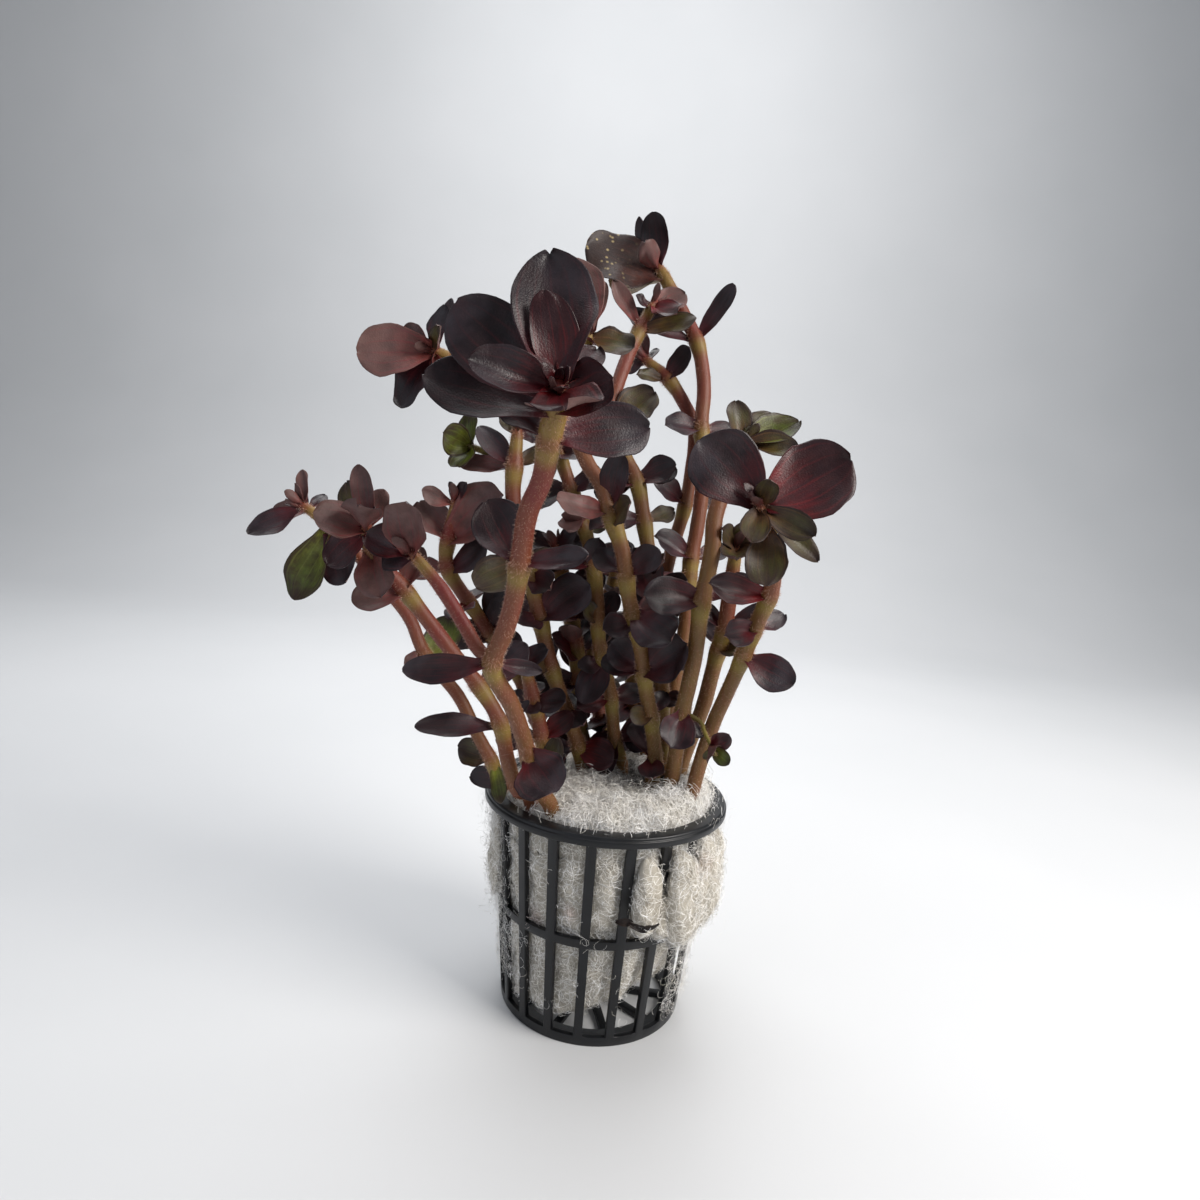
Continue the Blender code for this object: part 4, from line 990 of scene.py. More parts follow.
def detailed_pot(finish):
    azimuths, is_bar = pot_columns()
    inner_top = WALL_TOP_RADIUS - WALL_THICKNESS
    outside = [(wall_radius(z), z, open_above) for z, open_above in (
        (0.0, False), (BASE_RING_TOP, True), (MID_RING_BOTTOM, False), (MID_RING_TOP, True),
        (RIM_BOTTOM, False))]
    rim = [(RIM_RADIUS - 0.12, RIM_BOTTOM), (RIM_RADIUS, RIM_BOTTOM + 0.15),
           (RIM_RADIUS, RIM_TOP - 0.75), (RIM_RADIUS - LIP_STEP, RIM_TOP - 0.65),
           (RIM_RADIUS - LIP_STEP, RIM_TOP - 0.25), (RIM_RADIUS - LIP_STEP - 0.25, RIM_TOP),
           (inner_top + 0.25, RIM_TOP), (inner_top, RIM_TOP - 0.25)]
    inside = [(wall_radius(z) - WALL_THICKNESS, z, open_above) for z, open_above in (
        (RIM_BOTTOM, True), (MID_RING_TOP, False), (MID_RING_BOTTOM, True), (BASE_RING_TOP, False),
        (BASE_THICKNESS, False))]
    foot = [(BASE_RING_INSIDE, BASE_THICKNESS), (BASE_RING_INSIDE, 0.0)]
    profile = outside + [(r, z, False) for r, z in rim] + inside + [(r, z, False) for r, z in foot]
    points, rows = [], []
    for radius, height, _ in profile:
        start = len(points)
        points += [around(azimuth, radius, height) for azimuth in azimuths]
        rows.append(list(range(start, len(points))))
    faces = []
    opened = {(1, 2), (3, 4)}
    inner_start = len(outside) + len(rim)
    opened |= {(inner_start, inner_start + 1), (inner_start + 2, inner_start + 3)}
    for index in range(len(profile)):
        following = (index + 1) % len(profile)
        quads = bridge(rows[index], rows[following])
        if (index, following) in opened:
            quads = [quad for quad, bar in zip(quads, is_bar) if bar]
        faces += quads
    pairs = [(1, inner_start + 3), (2, inner_start + 2), (3, inner_start + 1), (4, inner_start)]
    for level, (outer, inner) in enumerate(pairs):
        for column, bar in enumerate(is_bar):
            beyond = (column + 1) % len(azimuths)
            if not bar:
                quad = (rows[outer][column], rows[outer][beyond], rows[inner][beyond], rows[inner][column])
                faces.append(quad)
    for low, high in ((0, 1), (2, 3)):
        for column, bar in enumerate(is_bar):
            if bar != is_bar[column - 1]:
                faces.append((rows[pairs[low][0]][column], rows[pairs[low][1]][column],
                              rows[pairs[high][1]][column], rows[pairs[high][0]][column]))
    shell = plain_object("net_pot_detail", points, faces, finish)
    mend_normals(shell)
    round_edges(shell, EDGE_ROUND)
    spokes = detailed_spokes(finish)
    join_into(shell, spokes)
    shell.data.shade_smooth()
    shell.data.set_sharp_from_angle(angle=math.radians(42))
    return shell


def detailed_spokes(finish):
    """Ten spokes of square section and the hub that they meet in."""
    made = []
    reach = BASE_RING_INSIDE + SPOKE_OVERLAP
    for spoke in range(SPOKE_COUNT):
        turn = FIRST_SPOKE + 360.0 * spoke / SPOKE_COUNT
        out = np.array(around(turn, 1.0, 0.0))
        side = np.array([-out[1], out[0], 0.0]) * SPOKE_WIDTH / 2
        corners = []
        for radius in (HUB_RADIUS - 1.0, reach):
            for height in (SPOKE_LIFT, BASE_THICKNESS - SPOKE_LIFT):
                for way in (-1, 1):
                    corners.append(out * radius + side * way + np.array([0.0, 0.0, height]))
        faces = [(0, 1, 3, 2), (4, 6, 7, 5), (0, 4, 5, 1), (2, 3, 7, 6), (0, 2, 6, 4), (1, 5, 7, 3)]
        made.append(plain_object("spoke", corners, faces, finish))
    points, rows = [], []
    for radius, height in ((HUB_RADIUS, 0.0), (HUB_RADIUS, BASE_THICKNESS)):
        start = len(points)
        points += [around(360.0 * i / 48, radius, height) for i in range(48)]
        rows.append(list(range(start, len(points))))
    faces = bridge(*rows) + [tuple(rows[0][::-1]), tuple(rows[1])]
    made.append(plain_object("hub", points, faces, finish))
    for piece in made:
        mend_normals(piece)
        round_edges(piece, EDGE_ROUND)
    return made


def plain_object(name, points, faces, finish):
    mesh = bpy.data.meshes.new(name)
    mesh.from_pydata([tuple(float(x) * MM for x in point) for point in points], [], faces)
    mesh.materials.append(finish)
    piece = bpy.data.objects.new(name, mesh)
    bpy.context.scene.collection.objects.link(piece)
    return piece


def mend_normals(piece):
    shape = bmesh.new()
    shape.from_mesh(piece.data)
    bmesh.ops.remove_doubles(shape, verts=shape.verts, dist=1e-6)
    bmesh.ops.recalc_face_normals(shape, faces=shape.faces)
    shape.to_mesh(piece.data)
    shape.free()


def round_edges(piece, width):
    """The small rounding that a mould leaves on every edge."""
    bevel = piece.modifiers.new("rounding", "BEVEL")
    bevel.width = width * MM
    bevel.segments = 2
    bevel.limit_method = "ANGLE"
    bevel.angle_limit = math.radians(40)
    bevel.use_clamp_overlap = True
    apply_modifiers(piece)


def apply_modifiers(piece):
    graph = bpy.context.evaluated_depsgraph_get()
    shaped = bpy.data.meshes.new_from_object(piece.evaluated_get(graph))
    piece.modifiers.clear()
    piece.data = shaped


def join_into(piece, others):
    shape = bmesh.new()
    for each in [piece] + others:
        shape.from_mesh(each.data)
    shape.to_mesh(piece.data)
    shape.free()
    for each in others:
        bpy.data.objects.remove(each)


# ---- Filter wool ------------------------------------------------------------------------------------

WOOL_COLUMNS = 114
WOOL_ROWS = 46
FIBRE_WIDTH = 0.068
FIBRE_PARTS = 11
FIBRE_STEP = 0.45
TUFT_HALF_WIDTH = 2.1
# Tufts as the eye meets them: slot, middle height, reach, half height, spread beyond the bars. A slot
# number halfway between two others means wool that lies outside, over the bar between them.
SOFT_TUFTS = [
    (1, 32.6, 24.8, 7.5, 1.25), (2, 31.0, 26.2, 9.2, 1.8), (3, 32.2, 26.0, 9.2, 1.85),
    (4, 32.5, 25.0, 8.4, 1.7), (-4, 32.0, 23.0, 8.5, 1.1), (-5, 31.0, 23.1, 8.5, 1.1),
    (7, 32.0, 24.0, 8.0, 1.2), (-8, 33.0, 24.0, 8.0, 1.2), (1.5, 28.0, 23.9, 4.6, 0.95),
    (2.5, 30.4, 25.8, 7.4, 1.8), (3.5, 32.0, 25.4, 8.2, 1.8),
]
# The points that the wilted scrap passes
SCRAP_PATH = [(3.58, -24.0, 28.94), (5.92, -24.6, 29.11), (8.4, -24.2, 27.93), (10.79, -23.2, 28.34)]
# Where the mound sinks round the stems: middle, reach and depth
HOLLOW = (9.0, -1.5, 10.0, 3.4)
# Fibre groups: name, how many, lowest and highest root, how far they stand off, and their seed
FIBRE_GROUPS = [
    ("wool_fibres_crown", 5600, 43.0, 70.0, 0.16, 1), ("wool_fibres_crown_loose", 4600, 43.0, 70.0, 0.6, 2),
    ("wool_fibres_upper", 6200, 22.0, 44.0, 0.22, 3), ("wool_fibres_lower", 4200, 1.5, 24.0, 0.18, 4),
]
# Patches of stray fibres that cling over the bars: azimuth range, height range, how many, how far off
STRAY_PATCHES = [
    (-112, -60, 20, 44, 1250, 0.62), (-85, -46, 8, 22, 240, 0.2), (46, 88, 4, 22, 480, 0.25),
    (38, 104, 22, 44, 900, 0.6), (-42, 30, 20, 26, 8, 0.2), (-30, 30, 6, 14, 10, 0.2),
    (-60, 60, 41, 45, 20, 0.2), (110, 250, 10, 42, 200, 0.3),
]


def wave_noise(x, y, z, scale, seed=0.0):
    return noise.noise(Vector((x / scale + seed, y / scale, z / scale)))


def wool_outline(azimuth, height):
    """The wool's radius at this azimuth and height: packed behind the bars, fuller in the slots."""
    share = float(np.interp(height, *np.array(WOOL_PROFILE).T))
    room = wall_radius(min(height, RIM_BOTTOM)) - WALL_THICKNESS - WOOL_CLEARANCE
    hanging = min(1.0, wool_sag(*around(azimuth, room, 0.0)) / 3.0) if height > 9.5 else 0.0
    radius = room * (share + 0.9 * hanging * (1.0 - share)) if height < 18.0 else room * share
    slot = ((azimuth - FIRST_BAR) * BAR_COUNT / 360.0) % 1.0
    middle = math.sin(math.pi * slot) ** 2
    if 24.0 < height < 42.5:
        radius += 0.9 * middle * math.sin(math.pi * (height - 24.0) / 18.5) ** 0.6
    if 10.0 < height < 20.5:
        radius += 0.4 * middle
    return radius


def wool_point(azimuth, height, inward=1.0):
    radius = wool_outline(azimuth, height) * inward
    x, y, z = around(azimuth, radius, height)
    lump = 0.8 * wave_noise(x, y, z, 5.0) + 0.5 * wave_noise(x, y, z, 2.2, 9.0)
    x, y, z = around(azimuth, max(0.0, radius + (lump - 0.35) * min(1.0, radius / 6.0)), height)
    fringe = max(0.0, 12.0 - height) * wave_noise(x, y, 0.0, 4.5, 2.0) * 0.8
    hanging = wool_sag(x, y, 0.0) * min(1.0, max(0.0, (18.0 - height) / 7.5))
    return np.array([x, y, z + wool_rise(x, z) + fringe - hanging])


def crown_lift(x, y, share):
    """The mound's height above its shoulder: domed, lumpy, and sunk round the stems."""
    lift = 1.6 * (1.0 - share) + 1.3 * wave_noise(x, y, 0.0, 5.5, 3.0) + 0.5 * wave_noise(x, y, 0.0, 2.0, 5.0)
    middle_x, middle_y, reach, depth = HOLLOW
    away = math.hypot(x - middle_x, y - middle_y) / reach
    return lift - depth * math.exp(-away * away)


def wool_body():
    """Points and faces of the lump: its underside, its side and the crown with its hollow."""
    rows, points, faces = [], [], []

    def row(values):
        start = len(points)
        points.extend(values)
        rows.append(list(range(start, len(points))))

    azimuths = [360.0 * column / WOOL_COLUMNS for column in range(WOOL_COLUMNS)]
    for share in (0.12, 0.35, 0.6, 0.85):
        row([wool_point(a, 9.0, share) for a in azimuths])
    for height in np.linspace(9.0, 48.4, WOOL_ROWS):
        row([wool_point(a, float(height)) for a in azimuths])
    for share in (0.94, 0.86, 0.77, 0.67, 0.57, 0.47, 0.37, 0.27, 0.17, 0.08):
        values = [wool_point(a, 48.6, share) for a in azimuths]
        row([p + np.array([0.0, 0.0, crown_lift(p[0], p[1], share)]) for p in values])
    for low, high in zip(rows, rows[1:]):
        faces += bridge(low, high)
    faces += [tuple(rows[0][::-1]), tuple(rows[-1])]
    return points, faces


def tuft_body(slot, height, reach, half_height, spread):
    """A soft tuft that swells out through its slot, fullest low down, and spreads over the bars beside it."""
    azimuth = FIRST_BAR + 360.0 * (slot + 0.5) / BAR_COUNT
    out = np.array(around(azimuth, 1.0, 0.0))
    across = np.cross(out, (0.0, 0.0, 1.0))
    wall = wall_radius(height)
    full = reach - wall
    stations = [(wall + 0.12 * full + 0.15, 0.55 + 0.5 * spread, 0.98, 1.02),
                (wall + 0.35 * full, spread, 0.94, 1.02), (wall + 0.6 * full, 0.97 * spread, 0.84, 0.96),
                (wall + 0.8 * full, 0.85 * spread, 0.66, 0.82), (wall + 0.94 * full, 0.6 * spread, 0.42, 0.6),
                (reach, 0.28 * spread, 0.16, 0.32)]
    if slot == int(slot):
        stations = [(wall - 2.6, 0.9, 0.92, 0.92), (wall - 0.6, 0.94, 0.96, 0.96),
                    (wall + 0.12, 0.98, 1.0, 1.0)] + stations
    else:
        stations = [(wall + 0.12, 0.6 * spread, 0.8, 0.8)] + stations
    points, faces, rows = [], [], []
    for radius, wide, top, bottom in stations:
        outward = max(0.0, radius - wall) / full
        start = len(points)
        for side in range(28):
            turn = 2 * math.pi * side / 28
            boxy = [math.copysign(abs(part) ** 0.78, part) for part in (math.cos(turn), math.sin(turn))]
            sideways = TUFT_HALF_WIDTH * wide * boxy[0]
            up = 0.5 * half_height * ((top - bottom) + (top + bottom) * boxy[1])
            point = out * radius + across * sideways + np.array([0.0, 0.0, height + up])
            swell = 1.0 * wave_noise(*point, 3.2, 5.0 + slot) + 0.5 * wave_noise(*point, 1.3, 2.0 + slot)
            points.append(point + out * swell * outward ** 0.6 + across * swell * 0.5)
        rows.append(list(range(start, len(points))))
    for low, high in zip(rows, rows[1:]):
        faces += bridge(high, low)
    faces += [tuple(rows[0]), tuple(rows[-1][::-1])]
    return points, faces


def build_wool(packed, fibre):
    body = Mesh()
    shapes = [wool_body()] + [tuft_body(*tuft) for tuft in SOFT_TUFTS]
    for points, faces in shapes:
        body.add(points, faces, 0, [(0.5, 0.0, 0.0)] * len(points))
    core = body.to_object("filter_wool_core", [packed])
    mend_normals(core)
    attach(core, "root")
    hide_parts("filter_wool")
    corners, faces = [], []
    for points, quads in shapes:
        faces += [tuple(len(corners) + corner for corner in quad) for quad in quads]
        corners += [tuple(point) for point in points]
    array = np.array(corners)
    quads = np.array([face for face in faces if len(face) == 4])
    skin = BVHTree.FromPolygons([Vector(point) for point in corners], faces)
    for name, count, low, high, lift, seed in FIBRE_GROUPS:
        rng = np.random.default_rng(400 + seed)
        mesh = Mesh()
        for spot in fibre_roots(rng, array, quads, low, high, count):
            curled_fibre(mesh, skin, Vector(spot), rng, lift)
        finish_fibres(mesh, name, fibre)
    finish_fibres(stray_fibres(), "wool_fibres_stray", fibre)


def wilted_scrap(finish):
    """The strip of dark, shrivelled leaf that is caught under the tuft on the right of the front."""
    path = [np.array(point) for point in SCRAP_PATH]
    mesh = Mesh()
    for count, (start, end) in enumerate(zip(path, path[1:])):
        way = (end - start) / np.linalg.norm(end - start)
        normal = np.cross(way, (0.0, 0.4 - 0.5 * count, 1.0))
        normal /= np.linalg.norm(normal)
        shape = (start - way * 0.5, way, normal, np.linalg.norm(end - start) + 1.0, 1.5)
        add_leaf(mesh, shape, "t", 5 * count + 2, (0, 0), 10, 6)
    piece = mesh.to_object("wilted_scrap", [finish])
    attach(piece, "root")


def finish_fibres(mesh, name, fibre):
    piece = mesh.to_object(name, [fibre])
    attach(piece, "root")


def fibre_roots(rng, array, quads, low, high, count):
    """Points spread over the lump between two heights, closer on the side that has the tufts."""
    centres = array[quads].mean(axis=1)
    spans = np.cross(array[quads[:, 2]] - array[quads[:, 0]], array[quads[:, 3]] - array[quads[:, 1]])
    chance = 0.5 * np.linalg.norm(spans, axis=1)
    chance *= np.where(centres[:, 1] < 8.0, 1.0, 0.4)
    chance *= (centres[:, 2] > low) & (centres[:, 2] < high)
    away = np.hypot(centres[:, 0] - HOLLOW[0], centres[:, 1] - HOLLOW[1]) / HOLLOW[2]
    sunk = np.exp(-((away / 0.9) ** 2)) * (centres[:, 2] > 44.0)
    chance *= 1.0 - 0.86 * sunk
    for quad in rng.choice(len(quads), size=count, p=chance / chance.sum()):
        a, b, c, d = array[quads[quad]]
        u, v = rng.random(2)
        yield (a * (1 - u) + b * u) * (1 - v) + (d * (1 - u) + c * u) * v


def stray_fibres():
    """Single fibres that hang over the outside of the bars and rings."""
    rng = np.random.default_rng(77)
    points, rows, faces = [], [], []
    for height in np.linspace(0.5, 44.5, 12):
        start = len(points)
        points += [Vector(around(5.0 * i, wall_radius(height) + 0.12, height)) for i in range(72)]
        rows.append(list(range(start, len(points))))
    for low, high in zip(rows, rows[1:]):
        faces += bridge(low, high)
    skin = BVHTree.FromPolygons(points, faces)
    mesh = Mesh()
    for first, last, low, high, count, off in STRAY_PATCHES:
        for _ in range(count):
            azimuth, height = rng.uniform(first, last), rng.uniform(low, high)
            spot = Vector(around(azimuth, wall_radius(height), height))
            curled_fibre(mesh, skin, spot, rng, off, 0.6, 0.55)
    return mesh


def curled_fibre(mesh, skin, spot, rng, off, slim=1.0, curl=1.0):
    """One crimped fibre as a thin ribbon that follows the skin in curls and loops away from it."""
    found, normal, _, _ = skin.find_nearest(spot)
    way = Vector(rng.normal(size=3))
    way = (way - normal * way.dot(normal)).normalized()
    turning = FIBRE_STEP / (rng.uniform(0.8, 3.4) * curl) * rng.choice((-1, 1))
    lift = float(rng.exponential(off))
    swing, phase, rate = rng.uniform(0.1, 0.35 + 1.3 * off), rng.uniform(0, 6.28), rng.uniform(0.25, 0.8)
    if rng.random() < 0.07:
        swing *= 2.3
    shade = rng.random()
    width = FIBRE_WIDTH * slim * rng.uniform(0.35, 0.62)
    points = []
    for part in range(FIBRE_PARTS + 1):
        found, normal, _, _ = skin.find_nearest(spot)
        height = 0.02 + lift + swing * (0.5 + 0.5 * math.sin(phase + rate * part)) ** 2
        centre = found + normal * height
        side = way.cross(normal).normalized()
        flat = (side + normal * 0.7 * math.sin(phase + 0.9 * part)).normalized() * width
        points += [centre - flat, centre + flat]
        turning *= rng.uniform(0.75, 1.3)
        way = (way + side * turning).normalized()
        spot = found + way * FIBRE_STEP
        way = (way - normal * way.dot(normal)).normalized()
    faces = [(2 * i, 2 * i + 1, 2 * i + 3, 2 * i + 2) for i in range(FIBRE_PARTS)]
    marks = [(shade, index / len(points), 0.0) for index in range(len(points))]
    mesh.add(points, faces, 0, marks)


# ---- Materials --------------------------------------------------------------------------------------


def linear(text):
    """An sRGB hex colour as linear red, green, blue and alpha."""
    parts = [int(text[i:i + 2], 16) / 255 for i in (1, 3, 5)]
    return tuple(p / 12.92 if p <= 0.04045 else ((p + 0.055) / 1.055) ** 2.4 for p in parts) + (1.0,)


def add_node(tree, kind, links, **settings):
    """A node with its settings, and for each named or numbered socket a value or another node's output."""
    made = tree.nodes.new(kind)
    for setting, value in settings.items():
        setattr(made, setting, value)
    for socket, source in links.items():
        if isinstance(source, bpy.types.NodeSocket):
            tree.links.new(source, made.inputs[socket])
        else:
            made.inputs[socket].default_value = source
    return made


def new_material(name, roughness, **constants):
    made = bpy.data.materials.new(name)
    made.use_nodes = True
    shader = made.node_tree.nodes["Principled BSDF"]
    shader.inputs["Roughness"].default_value = roughness
    for socket, value in constants.items():
        shader.inputs[socket].default_value = value
    return made, made.node_tree, shader


def mix(tree, share, first, second, blend="MIX"):
    made = add_node(tree, "ShaderNodeMix", {}, data_type="RGBA", blend_type=blend)
    for socket, source in ((0, share), (6, first), (7, second)):
        if isinstance(source, bpy.types.NodeSocket):
            tree.links.new(source, made.inputs[socket])
        else:
            made.inputs[socket].default_value = linear(source) if isinstance(source, str) else source
    return made.outputs[2]


def marks_of(tree):
    reader = add_node(tree, "ShaderNodeAttribute", {}, attribute_name="marks")
    return add_node(tree, "ShaderNodeSeparateXYZ", {0: reader.outputs["Vector"]}).outputs


def ramp_between(tree, value, low, high, start=0.0, end=1.0):
    made = add_node(tree, "ShaderNodeMapRange", {"Value": value, "From Min": low, "From Max": high,
                    "To Min": start, "To Max": end})
    return made.outputs[0]


def leaf_skin(name, base, tip, vein, mottle, roughness, painted_sheen=0.0, spots=None, rim=None):
    """A bacopa leaf's skin: satin and softly mottled, red at its base, with faint veins that fan out."""
    made, tree, shader = new_material(name, roughness, **{"Specular IOR Level": 0.36})
    across, along, seed = marks_of(tree)
    streaky = add_node(tree, "ShaderNodeCombineXYZ", {0: across, 1: along, 2: seed})
    stretched = add_node(tree, "ShaderNodeVectorMath", {0: streaky.outputs[0], 1: (8.0, 2.4, 40.0)},
                         operation="MULTIPLY")
    streak = add_node(tree, "ShaderNodeTexNoise", {"Vector": stretched.outputs[0], "Scale": 1.0,
                      "Detail": 5.0, "Roughness": 0.62})
    place = add_node(tree, "ShaderNodeTexCoord", {})
    blotch = add_node(tree, "ShaderNodeTexNoise", {"Vector": place.outputs["Object"], "Scale": 330.0,
                      "Detail": 5.0, "Roughness": 0.6})
    cells = add_node(tree, "ShaderNodeTexNoise", {"Vector": place.outputs["Object"], "Scale": 3600.0,
                     "Detail": 2.0})
    folded = add_node(tree, "ShaderNodeMath", {0: across, 1: 0.21}, operation="PINGPONG")
    wander = ramp_between(tree, streak.outputs["Fac"], 0.3, 0.7, -0.02, 0.02)
    folded = add_node(tree, "ShaderNodeMath", {0: folded.outputs[0], 1: wander}, operation="ADD")
    veins = ramp_between(tree, folded.outputs[0], 0.0, 0.045, 1.0, 0.0)
    fading = ramp_between(tree, along, 0.3, 0.95, 1.0, 0.1)
    veins = add_node(tree, "ShaderNodeMath", {0: veins, 1: fading}, operation="MULTIPLY").outputs[0]
    shift = ramp_between(tree, streak.outputs["Fac"], 0.3, 0.7, -0.16, 0.16)
    rising = add_node(tree, "ShaderNodeMath", {0: along, 1: shift}, operation="ADD", use_clamp=True)
    reach = ramp_between(tree, rising.outputs[0], 0.08, 0.62)
    skin = mix(tree, reach, base, tip)
    spotty = ramp_between(tree, blotch.outputs["Fac"], 0.42, 0.66, 0.0, 0.8)
    skin = mix(tree, spotty, skin, mottle)
    if rim:
        aside = add_node(tree, "ShaderNodeMath", {0: across}, operation="ABSOLUTE").outputs[0]
        outward = add_node(tree, "ShaderNodeMath", {0: aside, 1: along}, operation="MAXIMUM").outputs[0]
        outward = add_node(tree, "ShaderNodeMath", {0: outward, 1: shift}, operation="ADD").outputs[0]
        skin = mix(tree, ramp_between(tree, outward, 0.6, 0.98, 0.0, 0.9), skin, rim)
    # Soft grey patches mixed into the colour are painted sheen: they stand for the bluish-grey reflection on the
    # leaf tops.
    if painted_sheen:
        patch = add_node(tree, "ShaderNodeTexNoise", {"Vector": place.outputs["Object"],
                         "Scale": 120.0, "Detail": 4.0, "Roughness": 0.55})
        share = ramp_between(tree, patch.outputs["Fac"], 0.44, 0.68, 0.0, painted_sheen)
        skin = mix(tree, share, skin, "#5f5a63")
    if spots:
        dots = add_node(tree, "ShaderNodeTexVoronoi", {"Vector": place.outputs["Object"], "Scale": 700.0})
        near = ramp_between(tree, dots.outputs["Distance"], 0.12, 0.28, 1.0, 0.0)
        upper = ramp_between(tree, along, 0.35, 0.75)
        near = add_node(tree, "ShaderNodeMath", {0: near, 1: upper}, operation="MULTIPLY").outputs[0]
        skin = mix(tree, near, skin, spots)
    vein_share = add_node(tree, "ShaderNodeMath", {0: veins, 1: 0.48}, operation="MULTIPLY").outputs[0]
    skin = mix(tree, vein_share, skin, vein)
    tree.links.new(skin, shader.inputs["Base Color"])
    height = add_node(tree, "ShaderNodeMath", {0: streak.outputs["Fac"], 1: 0.25,
                      2: cells.outputs["Fac"]}, operation="MULTIPLY_ADD")
    relief = add_node(tree, "ShaderNodeBump", {"Strength": 0.3, "Distance": 0.0002,
                      "Height": height.outputs[0]})
    tree.links.new(relief.outputs[0], shader.inputs["Normal"])
    shine = ramp_between(tree, blotch.outputs["Fac"], 0.3, 0.7, roughness - 0.06, roughness + 0.12)
    tree.links.new(shine, shader.inputs["Roughness"])
    return made


def stem_skin():
    """Soft living stem: terracotta near the tip, olive brown lower down, pale green under each joint."""
    made, tree, shader = new_material("bacopa_stem_skin", 0.55)
    age, collar, greenness = marks_of(tree)
    place = add_node(tree, "ShaderNodeTexCoord", {})
    long_grain = add_node(tree, "ShaderNodeVectorMath", {0: place.outputs["Object"],
                          1: (1800.0, 1800.0, 260.0)}, operation="MULTIPLY")
    streak = add_node(tree, "ShaderNodeTexNoise", {"Vector": long_grain.outputs[0], "Scale": 1.0,
                      "Detail": 4.0, "Roughness": 0.6})
    blotch = add_node(tree, "ShaderNodeTexNoise", {"Vector": place.outputs["Object"], "Scale": 160.0,
                      "Detail": 3.0})
    wander = ramp_between(tree, blotch.outputs["Fac"], 0.3, 0.7, -0.22, 0.22)
    older = add_node(tree, "ShaderNodeMath", {0: age, 1: wander}, operation="ADD", use_clamp=True)
    skin = mix(tree, older.outputs[0], "#6b4e24", "#6c1f1c")
    skin = mix(tree, ramp_between(tree, streak.outputs["Fac"], 0.42, 0.7, 0.0, 0.5), skin, "#703621")
    skin = mix(tree, greenness, skin, "#5c501c")
    paler = add_node(tree, "ShaderNodeMath", {0: collar, 1: 0.62}, operation="MULTIPLY").outputs[0]
    skin = mix(tree, paler, skin, "#867830")
    tree.links.new(skin, shader.inputs["Base Color"])
    relief = add_node(tree, "ShaderNodeBump", {"Strength": 0.4, "Distance": 0.0003,
                      "Height": streak.outputs["Fac"]})
    tree.links.new(relief.outputs[0], shader.inputs["Normal"])
    return made


def hair_skin():
    """Plant hairs: hollow and colourless, so they catch the light as pale lines."""
    made, tree, shader = new_material("plant_hair", 0.4)
    share, shade, _ = marks_of(tree)
    skin = mix(tree, share, "#a8705a", "#e8cdb8")
    tree.links.new(skin, shader.inputs["Base Color"])
    return made


def wool_skin(name, bright, dim, grey, sheen, stains_and_shade):
    """Crimped polyester fibre: white and slightly glossy, each fibre its own grey; the lump's darker greys are
    painted shade.
    """
    made, tree, shader = new_material(name, 0.6, **{"Sheen Weight": sheen, "Sheen Roughness": 0.5})
    shade, _, _ = marks_of(tree)
    place = add_node(tree, "ShaderNodeTexCoord", {})
    cloud = add_node(tree, "ShaderNodeTexNoise", {"Vector": place.outputs["Object"], "Scale": 230.0,
                     "Detail": 4.0})
    fine = add_node(tree, "ShaderNodeTexNoise", {"Vector": place.outputs["Object"], "Scale": 2600.0,
                    "Detail": 3.0})
    skin = mix(tree, ramp_between(tree, cloud.outputs["Fac"], 0.35, 0.68), bright, dim)
    skin = mix(tree, ramp_between(tree, shade, 0.0, 0.65, 0.85, 0.0), skin, grey)
    # Each entry tints the colour round its middle: the pink and olive ones are real stains, the dark ones painted
    # shade.
    for hex_colour, centre, reach, strength in stains_and_shade:
        offset = add_node(tree, "ShaderNodeVectorMath", {0: place.outputs["Object"],
                          1: tuple(x * MM for x in centre)}, operation="DISTANCE")
        share = ramp_between(tree, offset.outputs["Value"], 0.2 * reach * MM, reach * MM, strength, 0.0)
        rough = add_node(tree, "ShaderNodeMath", {0: share, 1: ramp_between(tree,
                         cloud.outputs["Fac"], 0.35, 0.6)}, operation="MULTIPLY")
        skin = mix(tree, rough.outputs[0], skin, hex_colour)
    tree.links.new(skin, shader.inputs["Base Color"])
    relief = add_node(tree, "ShaderNodeBump", {"Strength": 0.6, "Distance": 0.0003,
                      "Height": fine.outputs["Fac"]})
    tree.links.new(relief.outputs[0], shader.inputs["Normal"])
    return made


# Stains and painted shade in the wool: colour, middle, reach and strength; pink and olive are stains, the dark one
# painted shade
WOOL_STAINS_AND_SHADE = [
    ("#c07a70", (-7.0, -21.5, 26.5), 4.0, 0.55), ("#c07a70", (-13.5, -17.0, 23.5), 3.6, 0.5),
    ("#b98a80", (21.0, -17.0, 38.0), 4.0, 0.45), ("#8f8f4a", (13.0, -15.5, 11.0), 4.5, 0.5),
    ("#302a25", (9.0, -1.0, 49.0), 12.0, 1.7),
]
# Painted shade only in the imported lump: the dark hollow round the stems and a darker patch where the front stems
# go in.
CROWN_PAINTED_SHADE = [("#120e0c", (9.0, -2.0, 48.0), 13.5, 3.4), ("#4a4038", (-12.0, -14.0, 47.0), 6.0, 0.7)]


